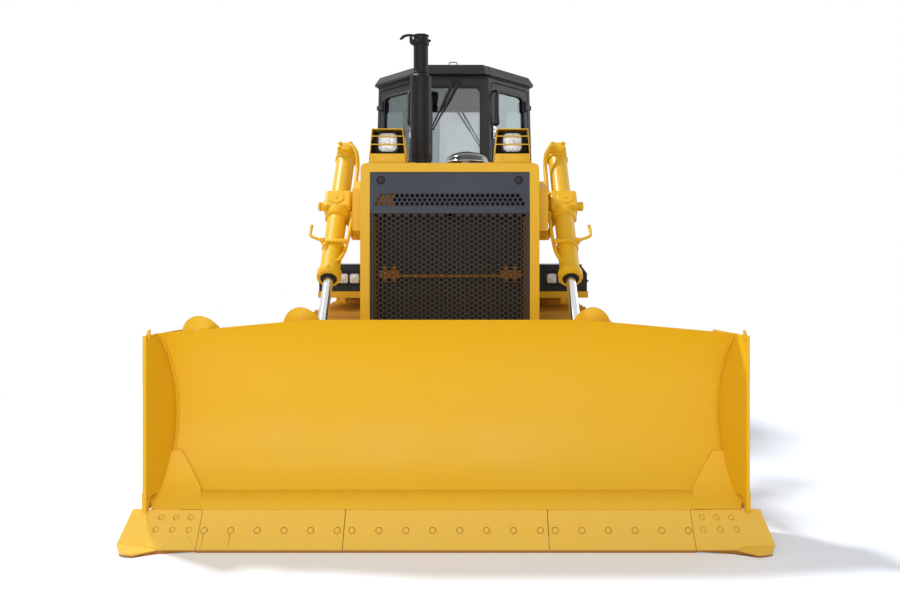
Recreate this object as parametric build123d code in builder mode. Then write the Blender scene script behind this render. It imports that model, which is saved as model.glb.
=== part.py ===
from build123d import *
import os
from math import atan2, ceil, cos, degrees, hypot, pi, radians, sin

# Crawler bulldozer, straight tilting blade, hexagonal cab.  Millimetres, +Z up, the blade
# faces -Y, the machine's left side is +X.  The origin lies on the ground under the middle
# of the machine's outline.

os.makedirs("parts", exist_ok=True)

CASE_REAR_BEHIND = 5110      # blade lip to the rear face of the transmission case
DRAWBAR_REACH = 349          # the drawbar's tail behind that face
WING_REACH = 82              # the end bits' wings in front of the lip
TAIL_BEHIND = CASE_REAR_BEHIND + DRAWBAR_REACH
OVERALL_LENGTH = WING_REACH + TAIL_BEHIND
SEAT = 0.3                   # running fit between curved faces that lie against each other


def behind(lip_distance):
    """Y of a station given as its distance behind the blade's lip."""
    return lip_distance + WING_REACH - OVERALL_LENGTH / 2


def save(piece, name):
    """Label a finished piece and write it as its own file."""
    piece.part.label = name
    export_step(piece.part, f"parts/{name}.step")


def save_pair(left, name):
    """Write a left-hand piece and its mirror image for the machine's right side."""
    save(left, f"{name}_left")
    with BuildPart() as right:
        mirror(left.part, about=Plane.YZ)
    save(right, f"{name}_right")


def bar_between(start, end, radius):
    """Round bar from one point to another, joined to the part being built."""
    run = Vector(*end) - Vector(*start)
    with BuildSketch(Plane(origin=start, z_dir=run)) as section:
        Circle(radius)
    extrude(section.sketch, amount=run.length)


# ---------------------------------------------------------------- undercarriage: the chains
TRACK_GAUGE = 2000           # centre to centre of the two tracks
WHEELBASE = 2730             # idler to sprocket, also the length on the ground
LINK_PITCH = 216
SHOE_COUNT = 38
SHOE_WIDTH = 560
SHOE_PLATE = 20              # thickness of a shoe
GROUSER_HEIGHT = 60
PIN_TO_SHOE = 48             # from the pin line out to the shoes
PIN_TO_RAIL = 52             # from the pin line in to the rails the rollers run on
RAIL_WIDTH = 46
RAIL_SPACING = 164           # centre to centre of the two rails of a chain
BUSHING_RADIUS = 32
IDLER_BEHIND = 1950          # the idler's axle behind the blade's lip

TRACK_X = TRACK_GAUGE / 2
CHAIN_LENGTH = SHOE_COUNT * LINK_PITCH
PITCH_RADIUS = (CHAIN_LENGTH - 2 * WHEELBASE) / (2 * pi)
SHOE_TOP = PIN_TO_SHOE + SHOE_PLATE
AXLE_Z = PITCH_RADIUS + SHOE_TOP + GROUSER_HEIGHT
IDLER_Y = behind(IDLER_BEHIND)
SPROCKET_Y = IDLER_Y + WHEELBASE
MID_TRACK_Y = (IDLER_Y + SPROCKET_Y) / 2
RAIL_RADIUS = PITCH_RADIUS - PIN_TO_RAIL
RAIL_GAP = RAIL_SPACING - RAIL_WIDTH

# One shoe's outer face, as (distance along the link, height above the pin line).
SHOE_FACE = [
    (0, SHOE_TOP - 12), (10, SHOE_TOP), (20, SHOE_TOP + GROUSER_HEIGHT),
    (36, SHOE_TOP + GROUSER_HEIGHT), (50, SHOE_TOP), (LINK_PITCH - 4, SHOE_TOP),
]
SHOE_BACK = [(6, PIN_TO_SHOE), (LINK_PITCH - 6, PIN_TO_SHOE)]


def pin_point(number):
    """(y, z) of a track pin, counted rearwards from under the idler, then round the loop."""
    run = (number % SHOE_COUNT) * LINK_PITCH
    half_turn = pi * PITCH_RADIUS
    if run < WHEELBASE:
        return IDLER_Y + run, AXLE_Z - PITCH_RADIUS
    run -= WHEELBASE
    if run < half_turn:
        turn = run / PITCH_RADIUS
        return SPROCKET_Y + PITCH_RADIUS * sin(turn), AXLE_Z - PITCH_RADIUS * cos(turn)
    run -= half_turn
    if run < WHEELBASE:
        return SPROCKET_Y - run, AXLE_Z + PITCH_RADIUS
    turn = (run - WHEELBASE) / PITCH_RADIUS
    return IDLER_Y - PITCH_RADIUS * sin(turn), AXLE_Z + PITCH_RADIUS * cos(turn)


def round_the_loop(link_points):
    """The points of one link, repeated on every link of the loop."""
    loop = []
    for number in range(SHOE_COUNT):
        (y0, z0), (y1, z1) = pin_point(number), pin_point(number + 1)
        chord = hypot(y1 - y0, z1 - z0)
        ey, ez = (y1 - y0) / chord, (z1 - z0) / chord
        for along, out in link_points:
            along *= chord / LINK_PITCH
            loop.append((y0 + ey * along + ez * out, z0 + ez * along - ey * out))
    return loop


with BuildPart() as track:
    shoes_from = TRACK_X - SHOE_WIDTH / 2
    with BuildSketch(Plane.YZ.offset(shoes_from)):
        with BuildLine():
            Polyline(*round_the_loop(SHOE_FACE), close=True)
        make_face()
        with BuildLine():
            Polyline(*round_the_loop(SHOE_BACK), close=True)
        make_face(mode=Mode.SUBTRACT)
    extrude(amount=SHOE_WIDTH)
    for side in (-1, 1):
        rail_from = TRACK_X + side * RAIL_SPACING / 2 - RAIL_WIDTH / 2
        with BuildSketch(Plane.YZ.offset(rail_from)):
            with BuildLine():
                Polyline(*round_the_loop([(6, PIN_TO_SHOE + 2), (LINK_PITCH - 6, PIN_TO_SHOE + 2)]),
                         close=True)
            make_face()
            with Locations((MID_TRACK_Y, AXLE_Z)):
                SlotCenterToCenter(WHEELBASE, 2 * RAIL_RADIUS, mode=Mode.SUBTRACT)
        extrude(amount=RAIL_WIDTH)
    with BuildSketch(Plane.YZ.offset(TRACK_X - RAIL_SPACING / 2)):
        with Locations(*[pin_point(number) for number in range(SHOE_COUNT)]):
            RegularPolygon(BUSHING_RADIUS, 6)
    extrude(amount=RAIL_SPACING)
save_pair(track, "track")

# ------------------------------------------------ undercarriage: wheels, rollers and frames
ROLLER_FLANGE = 12           # how far a flange stands past a tread
FLANGE_GAP = 7               # between a flange and the rail beside it
TRACK_ROLLER_RADIUS = 105
CARRIER_ROLLER_RADIUS = 84
TRACK_ROLLERS = 6
ROLLER_SPACING = (WHEELBASE - 980) / (TRACK_ROLLERS - 1)
CARRIER_SPREAD = WHEELBASE - 1550        # between the two carrier rollers
ROLLER_SHAFT_RADIUS = 34
ROLLER_FACETS = 16           # sides that a roller and its shaft are drawn with
SHAFT_FACETS = 8
FRAME_WIDTH = 284            # a track frame, over its side plates
FRAME_WALL = 14
FRAME_TOP = AXLE_Z + 134.6
IDLER_AXLE_RADIUS = 62
SPROCKET_TEETH = 25
SPROCKET_WIDTH = 70
SPROCKET_HUB_RADIUS = 270

TRACK_ROLLER_Z = AXLE_Z - RAIL_RADIUS + TRACK_ROLLER_RADIUS + SEAT
FRAME_BEAM_BOTTOM = TRACK_ROLLER_Z + TRACK_ROLLER_RADIUS + ROLLER_FLANGE + 8
FRAME_SKIRT_BOTTOM = TRACK_ROLLER_Z - 53   # the side plates come down outside the rollers
CARRIER_ROLLER_Z = AXLE_Z + RAIL_RADIUS - CARRIER_ROLLER_RADIUS - SEAT
FRAME_INNER = FRAME_WIDTH / 2 - FRAME_WALL
RAIL_OUTER = RAIL_SPACING / 2 + RAIL_WIDTH / 2


def disc(y, z, radius, half_width, center_x=TRACK_X, facets=0):
    """Crosswise disc, or shaft, in the middle of the left track unless placed elsewhere.

    With facets it is a prism of that many sides, one corner straight down."""
    with BuildSketch(Plane.YZ.offset(center_x - half_width)) as face:
        with Locations((y, z)):
            if facets:
                RegularPolygon(radius, facets)
            else:
                Circle(radius)
    extrude(face.sketch, amount=2 * half_width)


def turned(profile, y, z):
    """Revolve a half section about a crosswise axle in the middle of the left track."""
    with BuildSketch(Plane(origin=(TRACK_X, y, z), x_dir=(1, 0, 0), z_dir=(0, -1, 0))) as section:
        with BuildLine():
            Polyline(*profile, close=True)
        make_face()
    revolve(section.sketch, axis=Axis((TRACK_X, y, z), (1, 0, 0)))


shaft_half = FRAME_INNER - SEAT
flange_half = RAIL_GAP / 2 - FLANGE_GAP
with BuildPart() as rollers:
    for number in range(TRACK_ROLLERS):
        roller_y = MID_TRACK_Y + (number - (TRACK_ROLLERS - 1) / 2) * ROLLER_SPACING - 10
        for radius, half_width, facets in (
                (TRACK_ROLLER_RADIUS, RAIL_OUTER + 4, ROLLER_FACETS),
                (TRACK_ROLLER_RADIUS + ROLLER_FLANGE, flange_half, ROLLER_FACETS),
                (ROLLER_SHAFT_RADIUS, shaft_half, SHAFT_FACETS)):
            disc(roller_y, TRACK_ROLLER_Z, radius, half_width, facets=facets)
    for side in (-1, 1):
        roller_y = MID_TRACK_Y + side * CARRIER_SPREAD / 2
        disc(roller_y, CARRIER_ROLLER_Z, CARRIER_ROLLER_RADIUS, RAIL_OUTER + 4, facets=ROLLER_FACETS)
        disc(roller_y, CARRIER_ROLLER_Z, CARRIER_ROLLER_RADIUS + ROLLER_FLANGE, flange_half,
             facets=ROLLER_FACETS)
        disc(roller_y, CARRIER_ROLLER_Z, ROLLER_SHAFT_RADIUS, shaft_half / 2,
             TRACK_X - shaft_half / 2, SHAFT_FACETS)
save_pair(rollers, "rollers")

with BuildPart() as idler:
    turned([
        (-RAIL_OUTER, RAIL_RADIUS - 60), (-RAIL_OUTER, RAIL_RADIUS - SEAT),
        (-RAIL_GAP / 2 + 6, RAIL_RADIUS - SEAT), (-RAIL_GAP / 2 + 6, RAIL_RADIUS + ROLLER_FLANGE),
        (RAIL_GAP / 2 - 6, RAIL_RADIUS + ROLLER_FLANGE), (RAIL_GAP / 2 - 6, RAIL_RADIUS - SEAT),
        (RAIL_OUTER, RAIL_RADIUS - SEAT), (RAIL_OUTER, RAIL_RADIUS - 60),
        (32, IDLER_AXLE_RADIUS + 70), (78, IDLER_AXLE_RADIUS + 50), (78, 0), (-78, 0),
        (-78, IDLER_AXLE_RADIUS + 50), (-32, IDLER_AXLE_RADIUS + 70),
    ], IDLER_Y, AXLE_Z)
    disc(IDLER_Y, AXLE_Z, IDLER_AXLE_RADIUS, FRAME_INNER - SEAT)
save_pair(idler, "idler")

# A ring of stubby teeth, run by the chain's bushings, on a dished hub over the final drive.
sprocket_tip = PITCH_RADIUS - BUSHING_RADIUS - 4
tooth_step = 360 / SPROCKET_TEETH
with BuildPart() as sprocket:
    with BuildSketch(Plane.YZ.offset(TRACK_X - SPROCKET_WIDTH / 2)):
        with BuildLine():
            Polyline(*[
                (SPROCKET_Y + (sprocket_tip - drop) * cos(radians((tooth + part) * tooth_step)),
                 AXLE_Z + (sprocket_tip - drop) * sin(radians((tooth + part) * tooth_step)))
                for tooth in range(SPROCKET_TEETH) for part, drop in ((0.1, 0), (0.5, 34), (0.9, 0))
            ], close=True)
        make_face()
    extrude(amount=SPROCKET_WIDTH)
    turned([
        (0, 0), (0, SPROCKET_HUB_RADIUS + 30), (SPROCKET_WIDTH / 2 + 12, SPROCKET_HUB_RADIUS + 30),
        (SPROCKET_WIDTH / 2 + 12, SPROCKET_HUB_RADIUS), (120, SPROCKET_HUB_RADIUS - 30),
        (150, SPROCKET_HUB_RADIUS - 90), (150, 96), (178, 80), (178, 0),
    ], SPROCKET_Y, AXLE_Z)
save_pair(sprocket, "sprocket")

# ------------------------------------------------------------ blade: linkage points (rest)
ARM_THICK = 170
ARM_GAP = 90                 # between a track's shoes and a push arm
ARM_X = TRACK_GAUGE / 2 + SHOE_WIDTH / 2 + ARM_GAP + ARM_THICK / 2
ARM_DEPTH = 250
ARM_LINE_Z = 450             # height of the arms' joints at both ends, blade on the ground
TRUNNION = (behind(2950), ARM_LINE_Z)    # (y, z) of the push arms' ball trunnions
TRUNNION_BALL = 80
TRUNNION_SHAFT = 52
ARM_BALL = (behind(640), ARM_LINE_Z)     # joint between arm and blade
ARM_PIN_RADIUS = 34
STRUT_FOOT = (behind(1600), 640)     # foot of the brace and of the tilt cylinder
STRUT_HEAD = (behind(520), 1060)     # their heads, in the blade's upper lugs
STRUT_EYE = 52
STRUT_EYE_WIDTH = 52
STRUT_NECK = 26
FOOT_SWAY = 10               # room on each side of a strut's foot
STRUT_FLARE = 4              # the bore of a strut's foot widens by this towards both ends
ARM_EYE_WIDTH = 96
LIFT_X = 860
LIFT_EYE = (behind(565), 800)        # the lift rods' eyes
LIFT_PIVOT = (behind(1770), 2036)    # the yokes that carry the lift cylinders
LIFT_EYE_RADIUS = 58
LIFT_EYE_WIDTH = 84
ARM_SWAY = 20                # room on each side of an eye for the blade's tilting:
STRUT_SWAY = 16              # arms, brace and tilt cylinder,
LIFT_SWAY = 46               # lift rods
STRUT_PIN_RADIUS = 24
STRUT_PLAY = 15              # loose fit of a strut's head on the blade's pin
LUG_PLATE = 25
LUG_ROUND = 74
PIN_PLAY = 20                # loose fit of the arm's eye on the blade's pin, which sits
PIN_SEAT = 0.8               # this close to the rear of the eye


# The track frame: a box beam whose side plates come down outside the rollers, open fork
# ends for the idler's axle, and posts for the carrier rollers.
BEAM_REAR_Y = SPROCKET_Y - RAIL_RADIUS - 20
with BuildPart() as track_frame:
    with BuildSketch(Plane.YZ.offset(TRACK_X - FRAME_WIDTH / 2)):
        with BuildLine():
            Polyline(
                (IDLER_Y - 110, AXLE_Z - 80), (IDLER_Y + 120, FRAME_SKIRT_BOTTOM),
                (BEAM_REAR_Y - 60, FRAME_SKIRT_BOTTOM), (BEAM_REAR_Y, FRAME_BEAM_BOTTOM),
                (BEAM_REAR_Y, FRAME_TOP - 60), (BEAM_REAR_Y - 160, FRAME_TOP),
                (IDLER_Y + 330, FRAME_TOP), (IDLER_Y + 120, AXLE_Z + 90),
                (IDLER_Y - 110, AXLE_Z + 80), close=True)
        make_face()
    extrude(amount=FRAME_WIDTH)
    # the slot between the plates: open below the beam, and all the way up round the idler
    slot_length = BEAM_REAR_Y - IDLER_Y + 400
    with Locations((TRACK_X, IDLER_Y - 200 + slot_length / 2, FRAME_BEAM_BOTTOM)):
        Box(2 * FRAME_INNER, slot_length, FRAME_TOP,
            align=(Align.CENTER, Align.CENTER, Align.MAX), mode=Mode.SUBTRACT)
    with Locations((TRACK_X, IDLER_Y + RAIL_RADIUS + 40, FRAME_BEAM_BOTTOM)):
        Box(2 * FRAME_INNER, 2 * RAIL_RADIUS + 400, FRAME_TOP,
            align=(Align.CENTER, Align.MAX, Align.CENTER), mode=Mode.SUBTRACT)
    for side in (-1, 1):
        post_y = MID_TRACK_Y + side * CARRIER_SPREAD / 2
        with BuildSketch(Plane.YZ.offset(TRACK_X - FRAME_WIDTH / 2)):
            with BuildLine():
                Polyline((post_y - 110, FRAME_TOP - 10), (post_y + 110, FRAME_TOP - 10),
                         (post_y + 55, CARRIER_ROLLER_Z + 50), (post_y - 55, CARRIER_ROLLER_Z + 50),
                         close=True)
            make_face()
        extrude(amount=FRAME_WALL)
    # the stub shaft that carries the push arm's ball
    bar_between((TRACK_X + FRAME_INNER, *TRUNNION), (TRACK_X + FRAME_WIDTH / 2 + 40, *TRUNNION),
                TRUNNION_SHAFT + 50)
    bar_between((TRACK_X + FRAME_INNER, *TRUNNION), (ARM_X + TRUNNION_BALL, *TRUNNION),
                TRUNNION_SHAFT)
save_pair(track_frame, "track_frame")

# ------------------------------------------------------------------ blade: plate and edges
MOLDBOARD_HALF = ARM_X + 285
BLADE_HALF = MOLDBOARD_HALF + 122.5      # over the end bits
MOLDBOARD_PLATE = 16
BLADE_TOP = 1315             # of the level stretch in the middle
BLADE_LEVEL_HALF = 800       # the top falls away beyond this
BLADE_END_TOP = 1222
EDGE_ANGLE = 53.3            # the cutting edge's face above the ground
EDGE_HEIGHT = 304            # along that face
EDGE_PLATE = 25
EDGE_JOINT = 590             # middle segment to outer segment
EDGE_END = BLADE_HALF - 435.5            # outer segment to end bit
WING_WIDTH = 215             # the end bit's wing, bent forward
WING_ANGLE = 22
BELLY_BEHIND = 405           # the deepest of the moldboard's curve
BELLY_Z = 680
LIP_BEHIND = 95              # top edge of the moldboard
END_PLATE_SPREAD = 92        # the end plates lean out by this much from root to front

GUARD_PIPE_WALL = 10
GUARD_PIPE_FOOT = 1120
GUARD_PIPE_SETBACK = 70      # from the lip back to a guard's crown
GUARD_PIPE_SLOPE = 1.4
# guards of the lift rods' heads and of the tilt cylinder's: (across, outside radius, top)
GUARD_PIPES = ((-LIFT_X, 130, 1385), (LIFT_X, 130, 1385), (-ARM_X, 140, 1334))

FRONT_Y = behind(0)
END_PLATE_BOTTOM = EDGE_HEIGHT * sin(radians(EDGE_ANGLE)) + 36
edge_up = Vector(0, cos(radians(EDGE_ANGLE)), sin(radians(EDGE_ANGLE)))
EDGE_FACE = Plane(origin=(0, FRONT_Y, 0), x_dir=(1, 0, 0),
                  z_dir=(0, -sin(radians(EDGE_ANGLE)), cos(radians(EDGE_ANGLE))))
under_ground = Box(2 * BLADE_HALF + 200, 600, 200, align=(Align.CENTER, Align.CENTER, Align.MAX),
                   mode=Mode.PRIVATE).moved(Location((0, FRONT_Y, 0)))

with BuildPart() as cutting_edges:
    for left, right in ((-EDGE_END, -EDGE_JOINT), (-EDGE_JOINT, EDGE_JOINT), (EDGE_JOINT, EDGE_END)):
        with BuildSketch(EDGE_FACE):
            with Locations(((left + right) / 2, EDGE_HEIGHT / 2 - 30)):
                Rectangle(right - left - 4, EDGE_HEIGHT + 60)
        extrude(amount=-EDGE_PLATE)
    add(under_ground, mode=Mode.SUBTRACT)
save(cutting_edges, "cutting_edges")

bend_x = BLADE_HALF - WING_WIDTH * cos(radians(WING_ANGLE)) - EDGE_PLATE * sin(radians(WING_ANGLE))
with BuildPart() as end_bits:
    for side in (-1, 1):
        with BuildSketch(EDGE_FACE):
            with Locations((side * (EDGE_END + 2 + bend_x) / 2, EDGE_HEIGHT / 2 - 30)):
                Rectangle(bend_x - EDGE_END - 2, EDGE_HEIGHT + 60)
        extrude(amount=-EDGE_PLATE)
        # the wing swings forward about the line where it meets the flat part
        turn = radians(WING_ANGLE)
        wing_run = Vector(side * cos(turn), 0, 0) + EDGE_FACE.z_dir * sin(turn)
        wing_out = EDGE_FACE.z_dir * cos(turn) - Vector(side * sin(turn), 0, 0)
        wing = Plane(origin=Vector(side * bend_x, FRONT_Y, 0), x_dir=wing_run * side, z_dir=wing_out)
        with BuildSketch(wing):
            with BuildLine():
                Polyline((-side * 2, -80), (-side * 2, EDGE_HEIGHT), (side * (WING_WIDTH - 62), EDGE_HEIGHT),
                         (side * WING_WIDTH, 30), (side * (WING_WIDTH - 55), -80), close=True)
            make_face()
            fillet([v for v in vertices() if abs(v.X) > 20 and v.Y > -10], 34)
        extrude(amount=-EDGE_PLATE)
    add(under_ground, mode=Mode.SUBTRACT)
save(end_bits, "end_bits")


def lug(center_x, gap, outline, center):
    """A pair of upright plates, a gap apart, rounded about an eye's center."""
    for face in (-1, 1):
        start = center_x + face * (gap + LUG_PLATE) / 2 - LUG_PLATE / 2
        with BuildSketch(Plane.YZ.offset(start)) as plate:
            with BuildLine():
                Polyline(*outline, close=True)
            make_face()
            with Locations(center):
                Circle(LUG_ROUND)
        extrude(plate.sketch, amount=LUG_PLATE)


# The moldboard: a straight foot behind the cutting edge, then a curve up to the lip.
foot_start = Vector(0, FRONT_Y, 0) + edge_up * 110 + EDGE_FACE.z_dir * -EDGE_PLATE
foot_end = Vector(0, FRONT_Y, 0) + edge_up * EDGE_HEIGHT + EDGE_FACE.z_dir * -EDGE_PLATE
behind_plate = EDGE_FACE.z_dir * -MOLDBOARD_PLATE
belly = (behind(BELLY_BEHIND), BELLY_Z)
lip = (behind(LIP_BEHIND), BLADE_TOP)
back_belly = (belly[0] + MOLDBOARD_PLATE, BELLY_Z)
back_lip = (lip[0] + 10, BLADE_TOP)


def flat_point(vector):
    """(y, z) of a point in space."""
    return vector.Y, vector.Z


with BuildPart() as blade:
    with BuildSketch(Plane.YZ.offset(-MOLDBOARD_HALF)):
        with BuildLine():
            Line(flat_point(foot_start), flat_point(foot_end))
            ThreePointArc(flat_point(foot_end), belly, lip)
            Line(lip, back_lip)
            ThreePointArc(back_lip, back_belly, flat_point(foot_end + behind_plate))
            Line(flat_point(foot_end + behind_plate), flat_point(foot_start + behind_plate))
            Line(flat_point(foot_start + behind_plate), flat_point(foot_start))
        make_face()
    extrude(amount=2 * MOLDBOARD_HALF)
    # box beam along the foot, hollow
    for shrink, mode in ((0, Mode.ADD), (22, Mode.SUBTRACT)):
        with BuildSketch(Plane.YZ.offset(-MOLDBOARD_HALF + 70 + shrink)):
            with BuildLine():
                Polyline((behind(232) + shrink, 208 + shrink), (behind(470) - shrink, 262 + shrink),
                         (behind(520) - shrink, 330 + shrink / 2), (behind(520) - shrink, 470 - shrink),
                         (behind(392) + shrink, 560 - 2 * shrink), (behind(352) + shrink, 440),
                         close=True)
            make_face()
        extrude(amount=2 * (MOLDBOARD_HALF - 70 - shrink), mode=mode)
    # stiffener behind the lip, below the level where the ends fall away
    with BuildSketch(Plane.YZ.offset(-MOLDBOARD_HALF + 60)):
        with BuildLine():
            Polyline((behind(190), 1208), (behind(318), 1150), (behind(345), 1060),
                     (behind(302), 1060), (behind(240), 1160), close=True)
        make_face()
    extrude(amount=2 * (MOLDBOARD_HALF - 60))
    # lugs for the arms, for the lift rods, and for the brace and the tilt cylinder
    for side in (-1, 1):
        arm_gap = ARM_EYE_WIDTH + 2 * ARM_SWAY
        strut_gap = STRUT_EYE_WIDTH + 2 * STRUT_SWAY
        lug(side * ARM_X, arm_gap, [
            (behind(470), 300), (behind(640), 376), (behind(640), 524), (behind(470), 520)], ARM_BALL)
        lug(side * LIFT_X, LIFT_EYE_WIDTH + 2 * LIFT_SWAY, [
            (behind(380), 560), (behind(500), 640), (behind(600), 735), (behind(600), 865),
            (behind(400), 950)], LIFT_EYE)
        lug(side * ARM_X, strut_gap, [
            (behind(330), 900), (behind(540), 990), (behind(560), 1120), (behind(300), 1140)], STRUT_HEAD)
        for center, gap, radius in ((ARM_BALL, arm_gap, ARM_PIN_RADIUS),
                                    (STRUT_HEAD, strut_gap, STRUT_PIN_RADIUS)):
            bar_between((side * ARM_X - gap / 2 - 1, *center), (side * ARM_X + gap / 2 + 1, *center), radius)
    # the top edge falls towards the ends
    for side in (-1, 1):
        with BuildSketch(Plane.XZ.offset(-behind(700))):
            with BuildLine():
                Polyline((side * BLADE_LEVEL_HALF, BLADE_TOP), (side * (MOLDBOARD_HALF + 200), BLADE_TOP),
                         (side * (MOLDBOARD_HALF + 200), BLADE_END_TOP), (side * MOLDBOARD_HALF,
                         BLADE_END_TOP), close=True)
            make_face()
        extrude(amount=700, mode=Mode.SUBTRACT)
    # half-pipe guards in front of the cylinders' heads, their tops cut on a slant
    for center_x, radius, top in GUARD_PIPES:
        with BuildSketch(Plane.XY.offset(GUARD_PIPE_FOOT)):
            with Locations((center_x, behind(LIP_BEHIND) + radius + GUARD_PIPE_SETBACK)):
                Circle(radius)
                Circle(radius - GUARD_PIPE_WALL, mode=Mode.SUBTRACT)
                with Locations((0, radius / 2 + 8)):
                    Rectangle(3 * radius, radius + 16, mode=Mode.SUBTRACT)
        extrude(amount=top - GUARD_PIPE_FOOT)
        crown_y = behind(LIP_BEHIND) + GUARD_PIPE_SETBACK
        with BuildSketch(Plane.YZ.offset(center_x - radius - 5)):
            with BuildLine():
                Polyline((crown_y - 1, top), (crown_y + radius, top - GUARD_PIPE_SLOPE * radius),
                         (crown_y + radius, top + 5), (crown_y - 1, top + 5), close=True)
            make_face()
        extrude(amount=2 * radius + 10, mode=Mode.SUBTRACT)
    # nothing stands proud of the moldboard's working face
    with BuildSketch(Plane.YZ.offset(-MOLDBOARD_HALF)):
        with BuildLine():
            ThreePointArc(flat_point(foot_end), belly, lip)
            Polyline(lip, (lip[0] - 300, lip[1]), (lip[0] - 300, foot_end.Z), flat_point(foot_end))
        make_face()
    extrude(amount=2 * MOLDBOARD_HALF, mode=Mode.SUBTRACT)
    # end plates, leaning outwards, closing the curve's ends
    for side in (-1, 1):
        inner, outer = MOLDBOARD_HALF - END_PLATE_SPREAD, MOLDBOARD_HALF
        with BuildSketch(Plane.XY.offset(END_PLATE_BOTTOM)):
            with BuildLine():
                Polyline((side * outer, behind(LIP_BEHIND + 5)), (side * inner, behind(470)),
                         (side * (inner + 18), behind(475)), (side * (outer + 18), behind(LIP_BEHIND)),
                         close=True)
            make_face()
        extrude(amount=BLADE_END_TOP - END_PLATE_BOTTOM)
        with BuildSketch(Plane.XY.offset(100)):
            with BuildLine():
                Polyline((side * (outer + 18), behind(LIP_BEHIND)), (side * (inner + 17), behind(476)),
                         (side * (inner + 17), behind(900)), (side * (outer + 400), behind(900)),
                         (side * (outer + 400), behind(LIP_BEHIND)), close=True)
            make_face()
        extrude(amount=1400, mode=Mode.SUBTRACT)
save(blade, "blade")

# ---------------------------------------------------------------- blade: arms and cylinders
ARM_SOCKET = 126             # outside radius of the arm's rear socket
BRACE_TUBE_RADIUS = 44
TILT_BARREL_RADIUS = 66
TILT_ROD_RADIUS = 30
TILT_BARREL_LENGTH = 690     # foot's pin to the gland
LIFT_BARREL_RADIUS = 72.5
LIFT_BORE_RADIUS = 58
LIFT_ROD_RADIUS = 35
LIFT_GLAND = 745             # from the pivot to the barrel's open end
LIFT_ROD_INSIDE = 455        # of the rod, behind that end
LIFT_TAIL = 640              # from the pivot up to the closed end
YOKE_HALF = 92               # the yoke block's half width across the barrel
YOKE_PIN_RADIUS = 46
GUARD_BRACKET_X = 640        # side of the radiator guard, which carries the yokes
ROD_FIT = 0.5


def eye(center, radius, width, bore):
    """Crosswise eye, or boss, of the part being built."""
    x, y, z = center
    with BuildSketch(Plane.YZ.offset(x - width / 2)) as ring:
        with Locations((y, z)):
            Circle(radius)
            if bore:
                Circle(bore, mode=Mode.SUBTRACT)
    extrude(ring.sketch, amount=width)


def hole_through(center, radius, width):
    """Crosswise hole through the part being built."""
    x, y, z = center
    with BuildSketch(Plane.YZ.offset(x - width / 2)) as ring:
        with Locations((y, z)):
            Circle(radius)
    extrude(ring.sketch, amount=width, mode=Mode.SUBTRACT)


def flared_hole(center, radius, flare, width):
    """Crosswise hole, widening from its middle to both ends so that the eye can swivel."""
    x, y, z = center
    with BuildSketch(Plane.XY.offset(z)) as half:
        with BuildLine():
            Polyline((x - width / 2, y), (x - width / 2, y + radius + flare), (x, y + radius),
                     (x + width / 2, y + radius + flare), (x + width / 2, y), close=True)
        make_face()
    revolve(half.sketch, axis=Axis(center, (1, 0, 0)), mode=Mode.SUBTRACT)


ball_half = (TRUNNION_BALL**2 - (TRUNNION_SHAFT + SEAT)**2) ** 0.5
with BuildPart() as trunnion_balls:
    for side in (-1, 1):
        center = (side * ARM_X, *TRUNNION)
        with BuildSketch(Plane(origin=center, x_dir=(1, 0, 0), z_dir=(0, -1, 0))) as section:
            with BuildLine():
                ThreePointArc((-ball_half, TRUNNION_SHAFT + SEAT), (0, TRUNNION_BALL),
                              (ball_half, TRUNNION_SHAFT + SEAT))
                Line((ball_half, TRUNNION_SHAFT + SEAT), (-ball_half, TRUNNION_SHAFT + SEAT))
            make_face()
        revolve(section.sketch, axis=Axis(center, (1, 0, 0)))
save(trunnion_balls, "trunnion_balls")

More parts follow.
